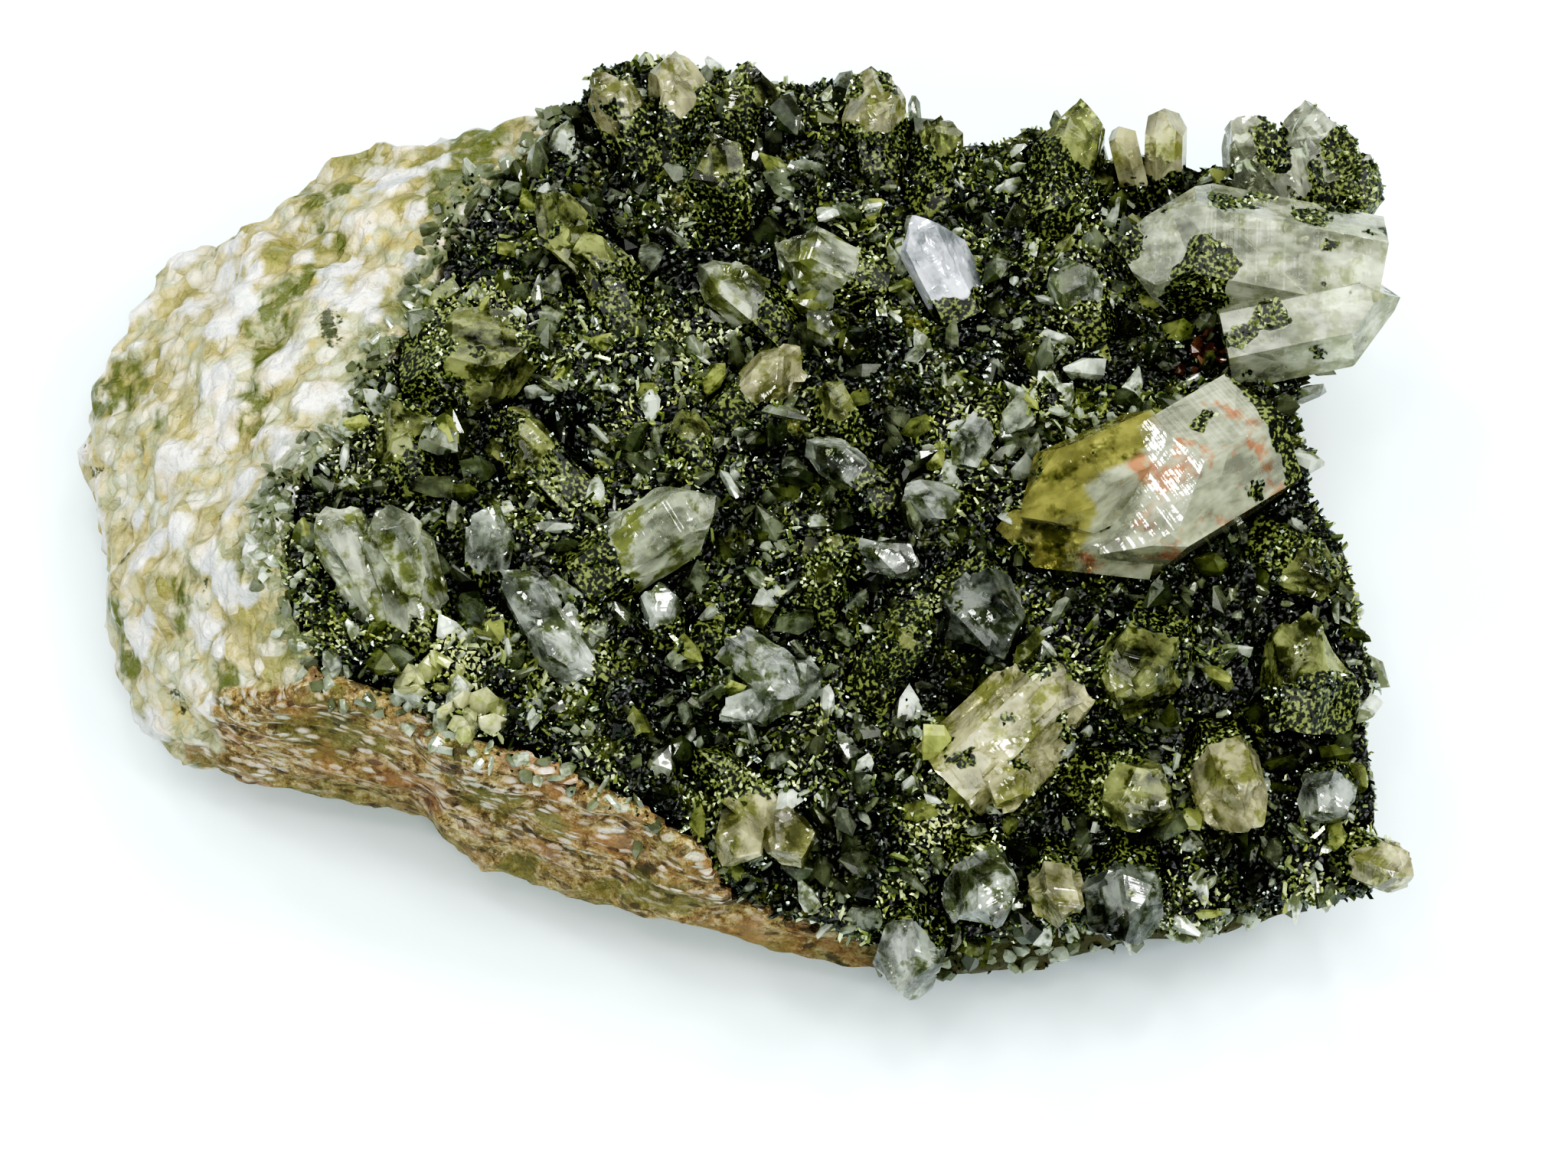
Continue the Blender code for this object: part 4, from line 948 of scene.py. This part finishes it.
for node in ("quartz_giant", "quartz_peach"):
    print(node, "lies along", [round(float(v), 2) for v in crystal_axis(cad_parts[node].data)])

# %% [markdown]
# Only a few of the real crystals are whole. Most are broken or have grown in steps, so their faces are many
# slanting flats that are longer along the crystal. The same cells that make the rock's grains make them,
# pulled long on the axis. The few whole ones get a narrow bevel instead: a plain sharp edge catches no light,
# but a real edge is worn a little and shows a thin bright line.

# %% Broken faces and worn edges
EDGE_WEAR = 0.07 * MM
FACE_GRAIN = 0.6 * MM
CHIP_GRAIN = 0.55 * MM
BREAKS = {      # depth of the breaks in mm: the crystals that have them
    0.15: "long_milky silver_face",
    0.2: "bead_upper bead_lower front_group south_block",
    0.25: "arrow nub clear_north olive_west obelisk crossed_pair brown_shard",
    0.3: "smoky long_cream east_grey grey_middle grey_low grey_corner green_small yellow_middle corner "
         "small_west",
    0.35: "grey_green olive_block amber_tooth olive_clear grey_fang clear_shield amber_edge grey_left "
          "grey_right top_yellow pillar crown coated_point",
    0.4: "blades brown_west top_olive cream_middle",
    0.45: "top_cream top_pale",
    0.5: "frost arch wavy_west",
}
RAGGED = {"quartz_" + part: depth for depth, parts in BREAKS.items() for part in parts.split()}


def chip(piece, axis, depth):
    """Breaks the faces of a crystal into slanting flats that are longer along its axis."""
    divide(piece, CHIP_GRAIN)
    places, normals = skin(piece)
    along = Vector(axis)
    heights = np.zeros(len(places))
    for i, p in enumerate(places):
        here = Vector(p)
        short = here - along * here.dot(along) * 0.5
        heights[i] = depth * (grain_height(short, 2.1, 0.12, 1.3) - 0.2 + 0.3 * noise.noise(short / 2.2))
    move_out(piece, places, normals, heights)


def wear(piece):
    """Gives a whole crystal a narrow bevel along its edges."""
    edge = piece.modifiers.new("worn edges", "BEVEL")
    edge.width = EDGE_WEAR
    edge.segments = 1
    edge.limit_method = "ANGLE"
    edge.angle_limit = math.radians(20)
    settle(piece)
    divide(piece, FACE_GRAIN)


print("broken crystals:", len(RAGGED), "with depths from", min(RAGGED.values()), "to", max(RAGGED.values()))

# %% [markdown]
# The number "coat" says how thickly epidote covers a point: most at the foot, where a crystal stands in the
# crust, a little all over on some crystals, and thickly in a few clumps whose places are those of the real
# stone. The peach-coloured group has olive crystals grown into it. Its number "stained" is 1 on the skin that
# lies nearer to their axes than to its own.

# %% Where the epidote and the stain lie
COATED = {      # cover of the faces, mm of the foot that are buried
    "quartz_coated_point": (0.24, 2.4), "quartz_obelisk": (0.18, 2.4), "quartz_silver_face": (0.0, 0.2),
    "quartz_crown": (0.2, 3), "quartz_pillar": (0.18, 3), "quartz_giant": (0.09, -5),
    "quartz_olive_west": (0.13, 2), "quartz_arch": (0.15, 2), "quartz_brown_west": (0.17, 2),
    "quartz_grey_corner": (0.14, 2.6), "quartz_top_olive": (0.2, 2.4), "quartz_top_yellow": (0.2, 2),
    "quartz_top_cream": (0.12, 2), "quartz_top_pale": (0.1, 2), "quartz_olive_block": (0.1, 1.6),
    "quartz_grey_green": (0.1, 1.6), "quartz_wavy_west": (0.15, 2), "quartz_green_small": (0.18, 2),
    "quartz_yellow_middle": (0.16, 2), "quartz_amber_edge": (0.14, 2), "quartz_olive_clear": (0.1, 1.6),
    "quartz_front_group": (0.08, 2), "quartz_long_cream": (0.08, -5), "quartz_peach": (0.06, -0.6),
}
BARE_FACES = (0.0, 1.2)         # the rest
# Clumps of epidote, drawing mm: x, y, radius
CLUMPS = [(27.9, 19.1, 1.6), (32.8, 15.7, 2.6), (34.5, 20.8, 1.5), (40.9, 19.8, 1.8), (43.6, 23.4, 2.6),
          (23.2, -13.4, 2.6), (20.6, -14.6, 1.8), (44, 27.6, 2.2), (38.6, 27, 2), (37.6, 13.2, 1.6)]
# Axes of the peach group in plan, drawing mm
PEACH_LINE = ((33.9, 2.4), (25.4, -4.3))
OLIVE_LINES = (((26.6, 1), (19.2, -4)), ((26, -4.4), (17.6, -4)))


def nearness(places, line):
    """Distance in plan from each place to a line between two points of the drawing."""
    start, end = (np.array(p) + (SHIFT_X, SHIFT_Y) for p in line)
    run = end - start
    share = np.clip((places[:, :2] - start) @ run / run.dot(run), 0, 1)
    return np.linalg.norm(places[:, :2] - start - share[:, None] * run, axis=1)


def coat_of(node, places, along):
    cover, buried = COATED.get(node, BARE_FACES)
    above_root = along - along.min() - 2.5
    coat = cover + 0.45 * ease(buried + 1.2, buried - 1.8, above_root)
    for x, y, radius in CLUMPS:
        far = nearness(places, ((x, y), (x + 0.01, y)))
        coat = np.maximum(coat, 0.42 * ease(radius + 0.6, radius - 1.4, far))
    return coat


def stain_of(node, places):
    if node != "quartz_peach":
        return np.zeros(len(places))
    olive = np.minimum(*(nearness(places, line) for line in OLIVE_LINES))
    return ease(-0.25, 0.25, nearness(places, PEACH_LINE) - olive - 0.9)


print("clumps of epidote on the quartz:", len(CLUMPS))

# %% [markdown]
# All of it comes together in one function that is run for each packed crystal. It keeps the crystal's own
# upright place on every point, so that ribs and veils follow the crystal when the finish reads them.

# %% Dress the larger crystals
def dress_crystal(node, finish):
    piece = merged_copy(node, node + "_crystal")
    axis = crystal_axis(piece.data)
    if node in RAGGED:
        chip(piece, axis, RAGGED[node])
    else:
        wear(piece)
    places, _ = skin(piece)
    along = places @ axis
    store(piece, "foot_to_tip", (along - along.min()) / (along.max() - along.min()))
    store(piece, "coat", coat_of(node, places, along))
    store(piece, "stained", stain_of(node, places))
    to_upright = np.array(Vector(axis).rotation_difference(Vector((0, 0, 1))).to_matrix())
    own = piece.data.attributes.new("own_place", "FLOAT_VECTOR", "POINT")
    own.data.foreach_set("vector", (places @ to_upright.T * MM).ravel().astype(np.float32))
    piece.data.materials.append(finishes[LOOKS.get(node, finish)])
    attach(piece, "root")
    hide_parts(node)
    return piece


SLOT_OF = {name: node.data.materials[0].name.split(".")[0] for name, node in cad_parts.items()
           if name not in ("host_rock", "epidote_crust")}
crystals = {name: dress_crystal(name, slot) for name, slot in SLOT_OF.items()}
print("crystals dressed:", len(crystals))

# %% [markdown]
# ## Small quartz
# Between the larger crystals the crust is full of quartz points of 1.5 to 4 mm, clear, smoky and olive, and
# of a fine frosted sugar. The growth tree strews them too, wider apart than the epidote and leaning more.

# %% Grow the small quartz
small_clear, small_smoky, small_olive, frosted = (
    quartz_finish(kind + " quartz", *look, grown=False) for kind, look in SMALL_QUARTZ.items())
points = {"forms": shards, "ridges": ridges, "lean": 1.3, "facing": -0.1}
grow("small_quartz_clear", ground, "clear_quartz", finish=small_clear, seed=5, spacing=1.9, density=0.7,
     thinnest=1.2, thickest=2.4, shortest=2.0, longest=3.6, sink=1.2, **points)
grow("small_quartz_smoky", ground, "smoky_quartz", finish=small_smoky, seed=6, spacing=3.0, density=0.4,
     thinnest=1.8, thickest=3.2, shortest=2.2, longest=3.6, sink=1.5, **points)
grow("small_quartz_olive", ground, "olive_quartz", finish=small_olive, seed=7, spacing=3.0, density=0.4,
     thinnest=1.4, thickest=3.0, shortest=2.0, longest=3.6, sink=1.4, **points)
grow("quartz_sugar", ground, "clear_quartz", finish=frosted, seed=9, spacing=0.8, density=1.6,
     thinnest=0.4, thickest=1.0, shortest=0.5, longest=1.3, sink=0.1, patch_size=3.5, patch_from=0.5,
     patch_to=0.56, patch_shift=0.09, **points)

# %% [markdown]
# Three places have small quartz of their own kind: pale green lumps where the crust meets the wall, rusty
# grains under the giant crystal, and chips along the border that straggle onto the rock, with a little
# epidote among them. The carrier's number "coat" is set near each place, and the tree grows crystals only
# where it is high.

# %% Grow the lumps, the rusty grains and the border
PALE_SPOTS = [(-20.7, -17.2, 2.6), (-23.4, -17, 1.8), (-17.6, -18.2, 1.6)]      # drawing mm: x, y, radius
RUSTY_SPOTS = [(33.6, 11.8, 1.5), (31.8, 10.8, 0.8)]
pale_green = quartz_finish("pale green quartz", (0.68, 0.67, 0.46), (0.46, 0.48, 0.22), 0.3, 0.8,
                           (0.86, 0.85, 0.62), 60, 0.05, grown=False)
rusty = quartz_finish("rusty quartz", (0.40, 0.22, 0.13), (0.14, 0.07, 0.03), 0.2, 0.7,
                      (0.8, 0.6, 0.45), 60, 0.1, grown=False)
for part, spots, finish, slot, big in (
        ("pale_edge_quartz", PALE_SPOTS, pale_green, "cream_quartz", 1.5),
        ("rusty_quartz", RUSTY_SPOTS, rusty, "peach_quartz", 1.0)):
    mark(ground, spots)
    grow(part, ground, slot, finish=finish, seed=14, spacing=0.55 * big, density=3.0, thinnest=0.8 * big,
         thickest=1.3 * big, shortest=0.9 * big, longest=1.6 * big, sink=0.2, patch_from=1.0, patch_to=1.1,
         coat_weight=1.0, **points)
grow("border_quartz", rock, "clear_quartz", finish=frosted, seed=10, spacing=0.8, density=2.0,
     thinnest=0.6, thickest=1.5, shortest=0.7, longest=1.5, sink=0.2, patch_size=3.0, patch_from=1.0,
     patch_to=1.2, coat_weight=1.0, **points)
grow("border_epidote", rock, "epidote", finish=dark_epidote, seed=12, spacing=0.36, density=13 * FEW,
     thinnest=0.18, thickest=0.36, shortest=0.25, longest=0.6, patch_size=2.0, patch_from=1.42,
     patch_to=1.46, coat_weight=1.0, lean=1.0, **common)

# %% [markdown]
# ## Epidote on the quartz
# Epidote also grew on the feet of the larger crystals and in clumps on their faces. All their skins are
# joined in one carrier with the number "coat" of every point, so that one run of the tree covers them. The
# lowest part of each is left out, because it stands in the crust where nobody sees it.

# %% Sprinkle the larger crystals
HIDDEN_ROOT = 2.2       # mm
work = bmesh.new()
coats = []
for piece in crystals.values():
    work.from_mesh(piece.data)
    coat = np.zeros(len(piece.data.vertices), dtype=np.float32)
    piece.data.attributes["coat"].data.foreach_get("value", coat)
    places, _ = skin(piece)
    along = places @ crystal_axis(piece.data)
    coats.append(np.where(along - along.min() > HIDDEN_ROOT, coat, -1.0))
bmesh.ops.triangulate(work, faces=work.faces)
mesh = bpy.data.meshes.new("crystal skins")
work.to_mesh(mesh)
work.free()
for trait in ("coat", "own_place", "foot_to_tip", "stained"):
    if trait in mesh.attributes:
        mesh.attributes.remove(mesh.attributes[trait])
skins = bpy.data.objects.new("crystal skins", mesh)
store(skins, "coat", np.concatenate(coats))
grow("epidote_on_quartz", skins, "epidote", finish=dark_epidote, seed=31, spacing=0.33, density=16 * FEW,
     thinnest=0.2, thickest=0.42, shortest=0.25, longest=0.6, lean=1.0, patch_size=PATCH_SIZE,
     patch_from=BARE, patch_to=BARE + 0.01, coat_weight=1.0, facing=-0.5, **common)


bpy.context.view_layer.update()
total = 0
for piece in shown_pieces():
    piece.data.calc_loop_triangles()
    total += len(piece.data.loop_triangles)
print("triangles in all:", total)
